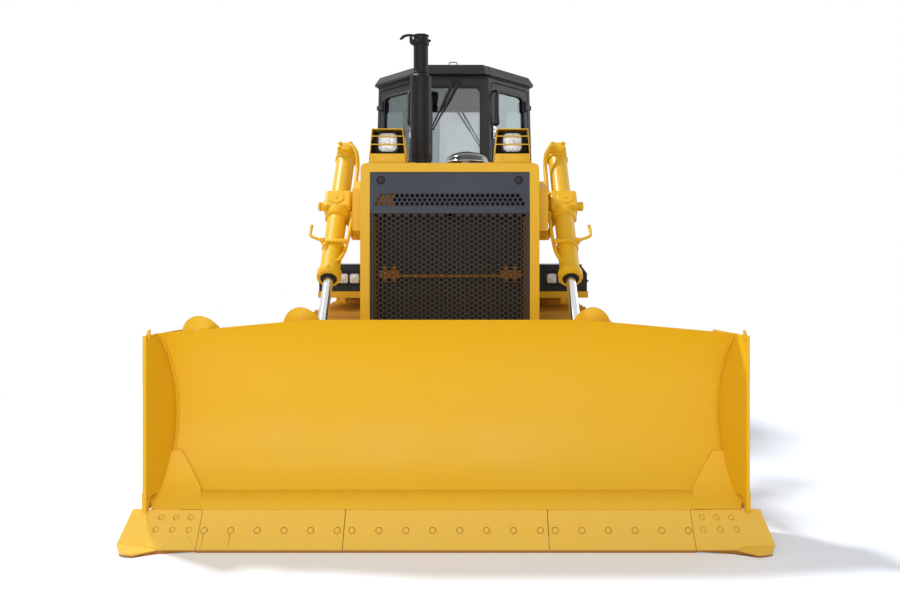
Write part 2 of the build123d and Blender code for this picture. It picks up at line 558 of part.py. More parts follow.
for name, side in (("push_arm_left", 1), ("push_arm_right", -1)):
    with BuildPart() as push_arm:
        with BuildSketch(Plane.YZ.offset(side * ARM_X - ARM_THICK / 2)):
            with BuildLine():
                Polyline(
                    (TRUNNION[0] - 60, TRUNNION[1] - 100), (TRUNNION[0] - 60, TRUNNION[1] + 100),
                    (TRUNNION[0] - 420, TRUNNION[1] + ARM_DEPTH / 2 + 10),
                    (STRUT_FOOT[0] - 320, TRUNNION[1] + ARM_DEPTH / 2 - 20),
                    (ARM_BALL[0] + 40, ARM_BALL[1] + 50), (ARM_BALL[0] + 40, ARM_BALL[1] - 50),
                    (STRUT_FOOT[0] - 320, ARM_BALL[1] - ARM_DEPTH / 2 + 20),
                    (TRUNNION[0] - 420, TRUNNION[1] - ARM_DEPTH / 2 - 10), close=True)
            make_face()
        extrude(amount=ARM_THICK)
        # the front narrows to its eye
        for face in (-1, 1):
            with BuildSketch(Plane.XY):
                with BuildLine():
                    far = side * ARM_X + face * (ARM_THICK / 2 + 40)
                    near = side * ARM_X + face * ARM_EYE_WIDTH / 2
                    Polyline((far, ARM_BALL[0] - 120), (near, ARM_BALL[0] - 120),
                             (near, ARM_BALL[0] + 110), (far, ARM_BALL[0] + 360), close=True)
                make_face()
            extrude(amount=900, mode=Mode.SUBTRACT)
        eye((side * ARM_X, *ARM_BALL), LUG_ROUND, ARM_EYE_WIDTH, 0)
        hole_through((side * ARM_X, ARM_BALL[0] - PIN_PLAY + PIN_SEAT, ARM_BALL[1]),
                     ARM_PIN_RADIUS + PIN_PLAY, 200)
        eye((side * ARM_X, *TRUNNION), ARM_SOCKET, ARM_THICK - 30, 0)
        with Locations((side * ARM_X, *TRUNNION)):
            Sphere(TRUNNION_BALL + ROD_FIT, mode=Mode.SUBTRACT)
        hole_through((side * ARM_X, *TRUNNION), TRUNNION_SHAFT + 14, 300)
        # lugs for the strut's foot
        for face in (-1, 1):
            start = side * ARM_X + face * (STRUT_EYE_WIDTH / 2 + FOOT_SWAY + LUG_PLATE / 2) - LUG_PLATE / 2
            with BuildSketch(Plane.YZ.offset(start)):
                with BuildLine():
                    Polyline((STRUT_FOOT[0] - 130, TRUNNION[1] + 60),
                             (STRUT_FOOT[0] + 130, TRUNNION[1] + 60),
                             (STRUT_FOOT[0] + 50, STRUT_FOOT[1] + 30),
                             (STRUT_FOOT[0] - 50, STRUT_FOOT[1] + 30), close=True)
                make_face()
                with Locations(STRUT_FOOT):
                    Circle(STRUT_EYE + 6)
            extrude(amount=LUG_PLATE)
        reach = STRUT_EYE_WIDTH / 2 + FOOT_SWAY + 1
        bar_between((side * ARM_X - reach, *STRUT_FOOT), (side * ARM_X + reach, *STRUT_FOOT),
                    STRUT_PIN_RADIUS)
    save(push_arm, name)

strut_run = Vector(0, STRUT_HEAD[0] - STRUT_FOOT[0], STRUT_HEAD[1] - STRUT_FOOT[1])
strut_length = strut_run.length


def along(start, run, profile, angle=360):
    """Revolve a half section, given as (distance along, radius) points, about a line."""
    with BuildSketch(Plane(origin=start, x_dir=run, z_dir=(0, -run.Z, run.Y))) as section:
        with BuildLine():
            Polyline(*profile, close=True)
        make_face()
    revolve(section.sketch, axis=Axis(start, run), revolution_arc=angle)


with BuildPart() as brace:
    foot = (ARM_X, *STRUT_FOOT)
    head = (ARM_X, *STRUT_HEAD)
    along(foot, strut_run, [
        (STRUT_EYE - 10, 0), (STRUT_EYE - 10, STRUT_NECK), (210, STRUT_NECK), (250, BRACE_TUBE_RADIUS),
        (strut_length - 290, BRACE_TUBE_RADIUS), (strut_length - 290, BRACE_TUBE_RADIUS + 14),
        (strut_length - 230, BRACE_TUBE_RADIUS + 14), (strut_length - 230, 32),
        (strut_length - STRUT_EYE + 10, 32), (strut_length - STRUT_EYE + 10, 0)])
    eye(foot, STRUT_EYE, STRUT_EYE_WIDTH, 0)
    eye(head, STRUT_EYE, STRUT_EYE_WIDTH, 0)
    flared_hole(foot, STRUT_PIN_RADIUS + ROD_FIT, STRUT_FLARE, STRUT_EYE_WIDTH + 2)
    hole_through(head, STRUT_PIN_RADIUS + STRUT_PLAY, 200)
save(brace, "brace")

with BuildPart() as tilt_barrel:
    foot = (-ARM_X, *STRUT_FOOT)
    along(foot, strut_run, [
        (STRUT_EYE - 10, 0), (STRUT_EYE - 10, STRUT_NECK), (84, STRUT_NECK), (84, TILT_BARREL_RADIUS),
        (TILT_BARREL_LENGTH - 60, TILT_BARREL_RADIUS),
        (TILT_BARREL_LENGTH - 60, TILT_BARREL_RADIUS + 8), (TILT_BARREL_LENGTH, TILT_BARREL_RADIUS + 8),
        (TILT_BARREL_LENGTH, TILT_ROD_RADIUS + ROD_FIT), (STRUT_EYE + 60, TILT_ROD_RADIUS + ROD_FIT),
        (STRUT_EYE + 60, 0)])
    eye(foot, STRUT_EYE, STRUT_EYE_WIDTH, 0)
    flared_hole(foot, STRUT_PIN_RADIUS + ROD_FIT, STRUT_FLARE, STRUT_EYE_WIDTH + 2)
save(tilt_barrel, "tilt_barrel")

with BuildPart() as tilt_rod:
    along((-ARM_X, *STRUT_FOOT), strut_run, [
        (TILT_BARREL_LENGTH - 380, 0), (TILT_BARREL_LENGTH - 380, TILT_ROD_RADIUS),
        (strut_length - STRUT_EYE + 10, TILT_ROD_RADIUS), (strut_length - STRUT_EYE + 10, 0)])
    eye((-ARM_X, *STRUT_HEAD), STRUT_EYE, STRUT_EYE_WIDTH, 0)
    hole_through((-ARM_X, *STRUT_HEAD), STRUT_PIN_RADIUS + STRUT_PLAY, 200)
save(tilt_rod, "tilt_rod")

lift_run = Vector(0, LIFT_EYE[0] - LIFT_PIVOT[0], LIFT_EYE[1] - LIFT_PIVOT[1])
lift_length = lift_run.length
pivot = (LIFT_X, *LIFT_PIVOT)
with BuildPart() as lift_barrel:
    along(pivot, lift_run, [
        (-LIFT_TAIL, 0), (-LIFT_TAIL, LIFT_BARREL_RADIUS + 6), (-LIFT_TAIL + 45, LIFT_BARREL_RADIUS + 6),
        (-LIFT_TAIL + 45, LIFT_BARREL_RADIUS), (LIFT_GLAND - 70, LIFT_BARREL_RADIUS),
        (LIFT_GLAND - 70, LIFT_BARREL_RADIUS + 9), (LIFT_GLAND, LIFT_BARREL_RADIUS + 9),
        (LIFT_GLAND, LIFT_ROD_RADIUS + ROD_FIT), (LIFT_GLAND - 60, LIFT_ROD_RADIUS + ROD_FIT),
        (LIFT_GLAND - 60, LIFT_BORE_RADIUS), (-LIFT_TAIL + 60, LIFT_BORE_RADIUS), (-LIFT_TAIL + 60, 0)])
    # the block that clamps the barrel, with its two crosswise journals
    with BuildSketch(Plane(origin=pivot, x_dir=(1, 0, 0), z_dir=lift_run).offset(-78)):
        RectangleRounded(2 * YOKE_HALF + 24, 2 * YOKE_HALF, 26)
        Circle(LIFT_BARREL_RADIUS - 4, mode=Mode.SUBTRACT)
    extrude(amount=156)
    bar_between((GUARD_BRACKET_X + 40, *LIFT_PIVOT), (LIFT_X - YOKE_HALF, *LIFT_PIVOT), YOKE_PIN_RADIUS)
    bar_between((LIFT_X + YOKE_HALF, *LIFT_PIVOT), (LIFT_X + YOKE_HALF + 46, *LIFT_PIVOT), 34)
save_pair(lift_barrel, "lift_barrel")

with BuildPart() as lift_rod:
    along(pivot, lift_run, [
        (LIFT_GLAND - LIFT_ROD_INSIDE, 0), (LIFT_GLAND - LIFT_ROD_INSIDE, LIFT_ROD_RADIUS),
        (lift_length - LIFT_EYE_RADIUS + 10, LIFT_ROD_RADIUS), (lift_length - LIFT_EYE_RADIUS + 10, 0)])
    eye((LIFT_X, *LIFT_EYE), LIFT_EYE_RADIUS, LIFT_EYE_WIDTH, 0)
save_pair(lift_rod, "lift_rod")

# ----------------------------------------------------------------- main frame and driveline
CLEARANCE_UNDER = 405        # ground to the belly guard
FRAME_RAIL_X = 330           # inner face of the main frame's rails
FRAME_RAIL = 50
FRAME_RAIL_TOP = FRAME_TOP
MAIN_FRONT_BEHIND = 1420
MAIN_NOSE_Z = 560
BELLY_PLATE = 22
CASE_FRONT_BEHIND = 3620
CASE_TOP = 1240
FINAL_DRIVE_RADIUS = 235
PIVOT_SHAFT_BEHIND = 3700
PIVOT_SHAFT_RADIUS = 80
PIVOT_SHAFT_Z = 540
EQUALIZER_BEHIND = 2450
EQUALIZER_DEPTH = 110
ENGINE_FRONT_BEHIND = 1960
ENGINE_REAR_BEHIND = 3010
ENGINE_HALF = 300
ENGINE_BOTTOM = 860
ENGINE_TOP = 1720
DRAWBAR_Z = 520
DRAWBAR_PLATE = 70
DRAWBAR_HOLE = 28
RIPPER_PAD = (440, 420)      # spacing of the four bolts of the ripper pad, across and up
RIPPER_PAD_Z = 830
RIPPER_BOLT = 14

with BuildPart() as main_frame:
    for side in (-1, 1):
        with BuildSketch(Plane.YZ.offset(side * (FRAME_RAIL_X + FRAME_RAIL / 2) - FRAME_RAIL / 2)):
            with BuildLine():
                Polyline(
                    (behind(MAIN_FRONT_BEHIND), MAIN_NOSE_Z),
                    (behind(MAIN_FRONT_BEHIND + 260), CLEARANCE_UNDER + 20),
                    (behind(CASE_FRONT_BEHIND), CLEARANCE_UNDER + 20),
                    (behind(CASE_FRONT_BEHIND), FRAME_RAIL_TOP),
                    (behind(MAIN_FRONT_BEHIND), FRAME_RAIL_TOP), close=True)
            make_face()
        extrude(amount=FRAME_RAIL)
    width = 2 * (FRAME_RAIL_X + FRAME_RAIL)
    with BuildSketch(Plane.YZ.offset(-width / 2)):
        with BuildLine():
            Polyline(
                (behind(MAIN_FRONT_BEHIND), MAIN_NOSE_Z), (behind(MAIN_FRONT_BEHIND), MAIN_NOSE_Z - 24),
                (behind(MAIN_FRONT_BEHIND + 256), CLEARANCE_UNDER),
                (behind(CASE_FRONT_BEHIND), CLEARANCE_UNDER),
                (behind(CASE_FRONT_BEHIND), CLEARANCE_UNDER + BELLY_PLATE),
                (behind(MAIN_FRONT_BEHIND + 264), CLEARANCE_UNDER + BELLY_PLATE), close=True)
        make_face()
    extrude(amount=width)
    for start, end, bottom, top in (
            (MAIN_FRONT_BEHIND, MAIN_FRONT_BEHIND + 60, MAIN_NOSE_Z - 12, FRAME_RAIL_TOP),
            (ENGINE_FRONT_BEHIND + 60, ENGINE_FRONT_BEHIND + 200, 560, ENGINE_BOTTOM),
            (ENGINE_REAR_BEHIND - 200, ENGINE_REAR_BEHIND - 60, 560, ENGINE_BOTTOM),
            (EQUALIZER_BEHIND - 90, EQUALIZER_BEHIND + 90, 560, FRAME_RAIL_TOP)):
        with Locations((0, behind((start + end) / 2), bottom)):
            Box(width, end - start, top - bottom, align=(Align.CENTER, Align.CENTER, Align.MIN))
save(main_frame, "main_frame")

with BuildPart() as equalizer_bar:
    reach = TRACK_X + 90
    with BuildSketch(Plane.XZ.offset(-behind(EQUALIZER_BEHIND + 60))):
        with BuildLine():
            Polyline((-reach, FRAME_TOP), (reach, FRAME_TOP), (reach, FRAME_TOP + 70),
                     (reach - 260, FRAME_TOP + EQUALIZER_DEPTH), (-reach + 260, FRAME_TOP + EQUALIZER_DEPTH),
                     (-reach, FRAME_TOP + 70), close=True)
        make_face()
    extrude(amount=120)
save(equalizer_bar, "equalizer_bar")

with BuildPart() as rear_case:
    with BuildSketch(Plane.YZ.offset(-FRAME_RAIL_X)):
        with BuildLine():
            Polyline(
                (behind(CASE_FRONT_BEHIND), CLEARANCE_UNDER + 0), (behind(4700), CLEARANCE_UNDER),
                (behind(CASE_REAR_BEHIND), 470), (behind(CASE_REAR_BEHIND), CASE_TOP),
                (behind(CASE_FRONT_BEHIND), CASE_TOP), close=True)
        make_face()
    extrude(amount=2 * FRAME_RAIL_X)
    bar_between((-TRACK_X + SPROCKET_WIDTH / 2 + SEAT, SPROCKET_Y, AXLE_Z),
                (TRACK_X - SPROCKET_WIDTH / 2 - SEAT, SPROCKET_Y, AXLE_Z), FINAL_DRIVE_RADIUS)
    inner_reach = TRACK_X - FRAME_WIDTH / 2
    bar_between((-inner_reach, behind(PIVOT_SHAFT_BEHIND), PIVOT_SHAFT_Z),
                (inner_reach, behind(PIVOT_SHAFT_BEHIND), PIVOT_SHAFT_Z), PIVOT_SHAFT_RADIUS)
    # outriggers under the fenders
    for station in (3760, 4840):
        with BuildSketch(Plane.XZ.offset(-behind(station))):
            with BuildLine():
                Polyline((-FRAME_RAIL_X, 900), (FRAME_RAIL_X, 900), (640, 1165), (1150, 1185),
                         (1150, CASE_TOP), (-1150, CASE_TOP), (-1150, 1185), (-640, 1165), close=True)
            make_face()
        extrude(amount=60, both=True)
    # bolt holes of the ripper pad in the rear face
    with BuildSketch(Plane.XZ.offset(-behind(CASE_REAR_BEHIND))):
        with Locations((0, RIPPER_PAD_Z)):
            with GridLocations(*RIPPER_PAD, 2, 2):
                Circle(RIPPER_BOLT)
    extrude(amount=60, mode=Mode.SUBTRACT)
save(rear_case, "rear_case")

with BuildPart() as drawbar:
    with BuildSketch(Plane.XY.offset(DRAWBAR_Z - DRAWBAR_PLATE / 2)):
        with BuildLine():
            Polyline((-150, behind(CASE_REAR_BEHIND)), (-150, behind(TAIL_BEHIND - 200)),
                     (-90, behind(TAIL_BEHIND)), (90, behind(TAIL_BEHIND)),
                     (150, behind(TAIL_BEHIND - 200)), (150, behind(CASE_REAR_BEHIND)), close=True)
        make_face()
        fillet(vertices().group_by(Axis.Y)[-1], 60)
        with Locations((0, behind(TAIL_BEHIND - 110))):
            Circle(DRAWBAR_HOLE, mode=Mode.SUBTRACT)
    extrude(amount=DRAWBAR_PLATE)
save(drawbar, "drawbar")

with BuildPart() as engine:
    with Locations((0, behind(ENGINE_FRONT_BEHIND), ENGINE_BOTTOM)):
        Box(2 * ENGINE_HALF, ENGINE_REAR_BEHIND - ENGINE_FRONT_BEHIND, ENGINE_TOP - ENGINE_BOTTOM,
            align=(Align.CENTER, Align.MIN, Align.MIN))
    chamfer(edges().filter_by(Axis.Y).group_by(Axis.Z)[-1], 120)
    with Locations((0, behind(ENGINE_REAR_BEHIND), ENGINE_BOTTOM + 20)):
        Box(2 * ENGINE_HALF - 100, CASE_FRONT_BEHIND - ENGINE_REAR_BEHIND, 320,
            align=(Align.CENTER, Align.MIN, Align.MIN))
save(engine, "engine")

# ------------------------------------------------------- radiator guard, hood and side doors
GUARD_HALF = GUARD_BRACKET_X
GUARD_FRONT_BEHIND = 1280
GUARD_REAR_BEHIND = 1700
GUARD_TOP = 2330
GUARD_BOTTOM = 560
GUARD_BEND_Z = 1980          # above this the face leans back
GUARD_LEAN = 26
GUARD_BORDER = 68            # the yellow border beside the grille
GUARD_TOP_BORDER = 64
GUARD_CORNER = 40
GRILLE_BOTTOM = 760
GRILLE_PLATE = 8
GRILLE_INSET = 14
GRILLE_HOLE = 52             # across the corners' radius of the lower panel's openings
GRILLE_PITCH = 146
GRILLE_COLUMNS = 7
GRILLE_ROWS = 8
HOOD_HALF = 545
HOOD_TOP = 2300
HOOD_REAR_BEHIND = 3012
HOOD_SHEET = 8
HOOD_SKIRT_Z = 2010          # lower edge of the hood, upper edge of the side doors
SIDE_DOOR_BOTTOM = 1330

guard_front = [(behind(GUARD_FRONT_BEHIND), GUARD_BOTTOM), (behind(GUARD_FRONT_BEHIND), GUARD_BEND_Z),
               (behind(GUARD_FRONT_BEHIND + GUARD_LEAN), GUARD_TOP)]
with BuildPart() as radiator_guard:
    with BuildSketch(Plane.YZ.offset(-GUARD_HALF)):
        with BuildLine():
            Polyline(*guard_front, (behind(GUARD_REAR_BEHIND), GUARD_TOP),
                     (behind(GUARD_REAR_BEHIND), GUARD_BOTTOM), close=True)
        make_face()
    extrude(amount=2 * GUARD_HALF)
    fillet(edges().filter_by(Axis.Y).group_by(Axis.Z)[-1], GUARD_CORNER)
    opening_top = GUARD_TOP - GUARD_TOP_BORDER
    with Locations((0, behind(GUARD_FRONT_BEHIND) - 10, (GRILLE_BOTTOM + opening_top) / 2)):
        Box(2 * (GUARD_HALF - GUARD_BORDER), GUARD_REAR_BEHIND - GUARD_FRONT_BEHIND + 100,
            opening_top - GRILLE_BOTTOM, align=(Align.CENTER, Align.MIN, Align.CENTER),
            mode=Mode.SUBTRACT)
    # the bottom lies open to the main frame
    with Locations((0, behind(GUARD_FRONT_BEHIND) + 60, GUARD_BOTTOM - 10)):
        Box(2 * (GUARD_HALF - GUARD_BORDER), 500, FRAME_RAIL_TOP - GUARD_BOTTOM + 10,
            align=(Align.CENTER, Align.MIN, Align.MIN), mode=Mode.SUBTRACT)
    # brackets that carry the yokes' journals
    for side in (-1, 1):
        with BuildSketch(Plane.YZ.offset(side * (GUARD_HALF + 40) - 40)):
            with BuildLine():
                Polyline((behind(GUARD_FRONT_BEHIND + 190), LIFT_PIVOT[1] - 190),
                         (behind(GUARD_REAR_BEHIND), LIFT_PIVOT[1] - 260),
                         (LIFT_PIVOT[0] + 60, LIFT_PIVOT[1] - 60), (LIFT_PIVOT[0] + 60, LIFT_PIVOT[1] + 60),
                         (behind(GUARD_REAR_BEHIND), LIFT_PIVOT[1] + 190),
                         (behind(GUARD_FRONT_BEHIND + 190), LIFT_PIVOT[1] + 120), close=True)
            make_face()
            with Locations(LIFT_PIVOT):
                Circle(86)
                Circle(YOKE_PIN_RADIUS + ROD_FIT, mode=Mode.SUBTRACT)
        extrude(amount=80)
save(radiator_guard, "radiator_guard")

with BuildPart() as radiator_core:
    with Locations((0, behind(GUARD_FRONT_BEHIND + 150), GRILLE_BOTTOM)):
        Box(2 * (GUARD_HALF - GUARD_BORDER), 150, opening_top - GRILLE_BOTTOM - 40,
            align=(Align.CENTER, Align.MIN, Align.MIN))
save(radiator_core, "radiator_core")

grille_half = GUARD_HALF - GUARD_BORDER
with BuildPart() as grille:
    inset = GRILLE_INSET
    with BuildSketch(Plane.YZ.offset(-grille_half)):
        with BuildLine():
            Polyline(*[(y + inset, z) for y, z in (
                (guard_front[0][0], GRILLE_BOTTOM), guard_front[1],
                (guard_front[2][0] - 4, opening_top), (guard_front[2][0] - 4 + GRILLE_PLATE, opening_top),
                (guard_front[1][0] + GRILLE_PLATE, guard_front[1][1]),
                (guard_front[0][0] + GRILLE_PLATE, GRILLE_BOTTOM))], close=True)
        make_face()
    extrude(amount=2 * grille_half)
    with BuildSketch(Plane.XZ.offset(-behind(GUARD_FRONT_BEHIND + GRILLE_INSET))):
        with Locations((0, (GRILLE_BOTTOM + GUARD_BEND_Z) / 2)):
            with HexLocations(GRILLE_PITCH / 2, GRILLE_COLUMNS, GRILLE_ROWS):
                RegularPolygon(GRILLE_HOLE, 6)
    extrude(amount=-60, both=True, mode=Mode.SUBTRACT)
save(grille, "grille")

with BuildPart() as hood:
    for shrink, mode in ((0, Mode.ADD), (HOOD_SHEET, Mode.SUBTRACT)):
        with BuildSketch(Plane.XZ.offset(-behind(GUARD_REAR_BEHIND))):
            with BuildLine():
                half, top = HOOD_HALF - shrink, HOOD_TOP - shrink
                Polyline((-half, HOOD_SKIRT_Z), (-half, top - 90), (-half + 60, top), (half - 60, top),
                         (half, top - 90), (half, HOOD_SKIRT_Z), close=True)
            make_face()
        extrude(amount=-(HOOD_REAR_BEHIND - GUARD_REAR_BEHIND), mode=mode)
save(hood, "hood")

with BuildPart() as side_doors:
    for side in (-1, 1):
        with BuildSketch(Plane.YZ.offset(side * (HOOD_HALF - 15) - 15)):
            with BuildLine():
                Polyline((behind(GUARD_REAR_BEHIND), SIDE_DOOR_BOTTOM), (behind(HOOD_REAR_BEHIND),
                         SIDE_DOOR_BOTTOM + 40), (behind(HOOD_REAR_BEHIND), HOOD_SKIRT_Z),
                         (behind(GUARD_REAR_BEHIND), HOOD_SKIRT_Z), close=True)
            make_face()
            with Locations((behind((GUARD_REAR_BEHIND + HOOD_REAR_BEHIND) / 2 - 60), 1700)):
                with GridLocations(190, 260, 5, 2):
                    Rectangle(60, 210, mode=Mode.SUBTRACT)
        extrude(amount=30)
save(side_doors, "side_doors")

# ------------------------------------------------------------------ lamps, stack and intake
LAMP_X = 449                 # middle of a lamp box
LAMP_BOX_BOTTOM_HALF = 135
LAMP_BOX_TOP_HALF = 118
LAMP_BOX_HEIGHT = 250
LAMP_BOX_LENGTH = 210
LAMP_SIZE = 136
STACK_X = -240
STACK_BEHIND = 1950
MUFFLER_RADIUS = 83
MUFFLER_TOP = 3090
PIPE_RADIUS = 57.5
PIPE_TOP = 3385
CAP_THICK = 8
CAP_TAIL = 78                # hinge to counterweight
CAP_HINGE_X = STACK_X - PIPE_RADIUS - 22
PRECLEANER_X = 125
PRECLEANER_BEHIND = 2200
PRECLEANER_RADIUS = 170
PRECLEANER_TOP = 2500

with BuildPart() as lamp_boxes:
    for side in (-1, 1):
        with BuildSketch(Plane.XZ.offset(-behind(GUARD_FRONT_BEHIND + GUARD_LEAN + 20))):
            with BuildLine():
                outer, inner = side * (LAMP_X + LAMP_BOX_BOTTOM_HALF), side * (LAMP_X - LAMP_BOX_BOTTOM_HALF)
                Polyline((inner - side * 70, GUARD_TOP), (outer, GUARD_TOP), (outer, GUARD_TOP + 14),
                         (outer - side * 6, GUARD_TOP + LAMP_BOX_HEIGHT - 20),
                         (outer - side * 22, GUARD_TOP + LAMP_BOX_HEIGHT),
                         (inner + side * 44, GUARD_TOP + LAMP_BOX_HEIGHT),
                         (inner + side * 26, GUARD_TOP + LAMP_BOX_HEIGHT - 20),
                         (inner, GUARD_TOP + 14), (inner - side * 70, GUARD_TOP + 14), close=True)
            make_face()
        extrude(amount=-LAMP_BOX_LENGTH)
        with BuildSketch(Plane.XZ.offset(-behind(GUARD_FRONT_BEHIND + GUARD_LEAN + 20))):
            with Locations((side * (LAMP_X + 4), GUARD_TOP + LAMP_BOX_HEIGHT / 2 + 22)):
                Rectangle(2 * LAMP_BOX_TOP_HALF - 52, LAMP_BOX_HEIGHT - 90)
        extrude(amount=-60, mode=Mode.SUBTRACT)
save(lamp_boxes, "lamp_boxes")

with BuildPart() as front_lamps:
    for side in (-1, 1):
        with BuildSketch(Plane.XZ.offset(-behind(GUARD_FRONT_BEHIND + GUARD_LEAN + 36))):
            with Locations((side * (LAMP_X + 4), GUARD_TOP + LAMP_BOX_HEIGHT / 2 + 22)):
                RectangleRounded(LAMP_SIZE, LAMP_SIZE, 26)
        extrude(amount=-44)
save(front_lamps, "front_lamps")

with BuildPart() as exhaust_stack:
    with BuildSketch(Plane.XZ.offset(-behind(STACK_BEHIND))):
        with BuildLine():
            Polyline((STACK_X, HOOD_TOP), (STACK_X + MUFFLER_RADIUS + 22, HOOD_TOP),
                     (STACK_X + MUFFLER_RADIUS + 22, HOOD_TOP + 24),
                     (STACK_X + MUFFLER_RADIUS, HOOD_TOP + 24),
                     (STACK_X + MUFFLER_RADIUS, MUFFLER_TOP - 30), (STACK_X + PIPE_RADIUS, MUFFLER_TOP),
                     (STACK_X + PIPE_RADIUS, PIPE_TOP), (STACK_X + PIPE_RADIUS - 5, PIPE_TOP),
                     (STACK_X + PIPE_RADIUS - 5, MUFFLER_TOP - 100), (STACK_X, MUFFLER_TOP - 100),
                     close=True)
        make_face()
    revolve(axis=Axis((STACK_X, behind(STACK_BEHIND), 0), (0, 0, 1)))
    # the collar that carries the rain cap's hinge
    with Locations((STACK_X, behind(STACK_BEHIND), PIPE_TOP - 70)):
        Cylinder(PIPE_RADIUS + 7, 40, align=(Align.CENTER, Align.CENTER, Align.MIN))
        Cylinder(PIPE_RADIUS - 5, 40, align=(Align.CENTER, Align.CENTER, Align.MIN), mode=Mode.SUBTRACT)
    for ear_y in (-30, 22):
        with BuildSketch(Plane.XZ.offset(-behind(STACK_BEHIND) - ear_y)):
            with BuildLine():
                Polyline((CAP_HINGE_X - 9, PIPE_TOP + 14), (CAP_HINGE_X + 12, PIPE_TOP + 14),
                         (CAP_HINGE_X + 12, PIPE_TOP - 6), (STACK_X - PIPE_RADIUS, PIPE_TOP - 34),
                         (STACK_X - PIPE_RADIUS, PIPE_TOP - 70), (CAP_HINGE_X - 9, PIPE_TOP - 50),
                         close=True)
            make_face()
        extrude(amount=-8)
save(exhaust_stack, "exhaust_stack")

with BuildPart() as rain_cap:
    with Locations((STACK_X, behind(STACK_BEHIND), PIPE_TOP + SEAT)):
        Cylinder(PIPE_RADIUS + 6, CAP_THICK, align=(Align.CENTER, Align.CENTER, Align.MIN))
    with Locations((CAP_HINGE_X - CAP_TAIL, behind(STACK_BEHIND), PIPE_TOP + SEAT)):
        Box(CAP_TAIL + 60, 36, CAP_THICK, align=(Align.MIN, Align.CENTER, Align.MIN))
        Box(34, 70, 34, align=(Align.CENTER, Align.CENTER, Align.MIN))
save(rain_cap, "rain_cap")

with BuildPart() as precleaner:
    with BuildSketch(Plane.XZ.offset(-behind(PRECLEANER_BEHIND))):
        with BuildLine():
            top = PRECLEANER_TOP
            x = PRECLEANER_X
            Polyline((x, top), (x, HOOD_TOP), (x + 96, HOOD_TOP), (x + 96, HOOD_TOP + 46),
                     (x + PRECLEANER_RADIUS, HOOD_TOP + 60), (x + PRECLEANER_RADIUS, HOOD_TOP + 112),
                     (x + 0.8 * PRECLEANER_RADIUS, top - 42), (x + 0.45 * PRECLEANER_RADIUS, top - 12),
                     (x, top))
        make_face()
    revolve(axis=Axis((PRECLEANER_X, behind(PRECLEANER_BEHIND), 0), (0, 0, 1)))
save(precleaner, "precleaner")

# --------------------------------------------------------------------------- cab and roof
FENDER_TOP = 1310
CAB_FLOOR = 1330
FLOOR_PLATE = 24
CAB_EAVE = 3290
CAB_LEAN = 1.5               # degrees that every wall leans inwards
CAB_WALL = 46
CAB_GLASS = 8
CAB_GLASS_INSET = 14
CAB_FRONT_BEHIND = 3050
CAB_WAIST_BEHIND = 3700
CAB_REAR_BEHIND = 4720
CAB_FRONT_HALF = 350
CAB_WAIST_HALF = 800
CAB_REAR_HALF = 560
WINDOW_TOP = CAB_EAVE - 100
DOOR_BOTTOM = 1565
DOOR_TOP = CAB_EAVE - 55
DOOR_EDGE = 46               # from the wall's corners to the door
DOOR_GAP = 9
DOOR_FRAME = 66              # width of the door's frame round its window
DOOR_BEVEL = 36              # the hinge edge is cut back inside, so that it can swing
HINGE_SET = 60               # hinge axis forward of the door's rear edge
HINGE_OUT = 17               # hinge axis outside the wall
HINGE_RADIUS = 11
HINGE_LEAF = 42              # height of the frame's leaf
HINGE_HEIGHTS = (1760, 2420, 3080)
CAB_MOUNTS = ((400, 3330), (430, 4560))    # (x, distance behind the lip) of the rubber mounts
ROOF_RISE = 90               # of the roof above the eaves
EAVE_BAND = 22               # upright band round the eaves
ROOF_SLOPE = 32              # degrees that the roof's sides lean in from upright
ROOF_LIP = 34                # how far the eaves stand out
ROOF_VISOR = 66              # further forward over the windscreen

cab_plan = [(-CAB_FRONT_HALF, behind(CAB_FRONT_BEHIND)), (CAB_FRONT_HALF, behind(CAB_FRONT_BEHIND)),
            (CAB_WAIST_HALF, behind(CAB_WAIST_BEHIND)), (CAB_REAR_HALF, behind(CAB_REAR_BEHIND)),
            (-CAB_REAR_HALF, behind(CAB_REAR_BEHIND)), (-CAB_WAIST_HALF, behind(CAB_WAIST_BEHIND))]


def cab_shell(outer_inset, inner_inset):
    """The cab's six leaning walls, between two distances in from the outside."""
    with BuildPart() as shell:
        for inset, mode in ((outer_inset, Mode.ADD), (inner_inset, Mode.SUBTRACT)):
            with BuildSketch(Plane.XY.offset(CAB_FLOOR)):
                with BuildLine():
                    Polyline(*cab_plan, close=True)
                make_face()
                if inset:
                    offset(amount=-inset, kind=Kind.INTERSECTION, mode=Mode.REPLACE)
            extrude(amount=CAB_EAVE - CAB_FLOOR, taper=CAB_LEAN, mode=mode)
    return shell.part


def wall_plane(number):
    """Plane of a cab wall's outer face: X along the wall, Y up its lean, Z outwards."""
    start, end = Vector(*cab_plan[number], CAB_FLOOR), Vector(*cab_plan[(number + 1) % 6], CAB_FLOOR)
    out = (end - start).cross(Vector(0, 0, 1)).normalized()
    lean = out * cos(radians(CAB_LEAN)) + Vector(0, 0, 1) * sin(radians(CAB_LEAN))
    return Plane(origin=(start + end) * 0.5, x_dir=end - start, z_dir=lean), (end - start).length


FRONT, DOOR_LEFT, REAR_LEFT, REAR, REAR_RIGHT, DOOR_RIGHT = range(6)


def wall_prism(number, half_width, bottom, top, radius):
    """Rounded prism square through one wall, for its window or its door."""
    plane, length = wall_plane(number)
    with BuildPart() as prism:
        with BuildSketch(plane):
            with Locations((0, (bottom + top) / 2 - CAB_FLOOR)):
                RectangleRounded(2 * half_width, top - bottom, radius)
        extrude(amount=170, both=True)
    return prism.part


door_face_half = wall_plane(DOOR_LEFT)[1] / 2
rear_face_half = wall_plane(REAR_LEFT)[1] / 2
door_half = door_face_half - DOOR_EDGE - 26
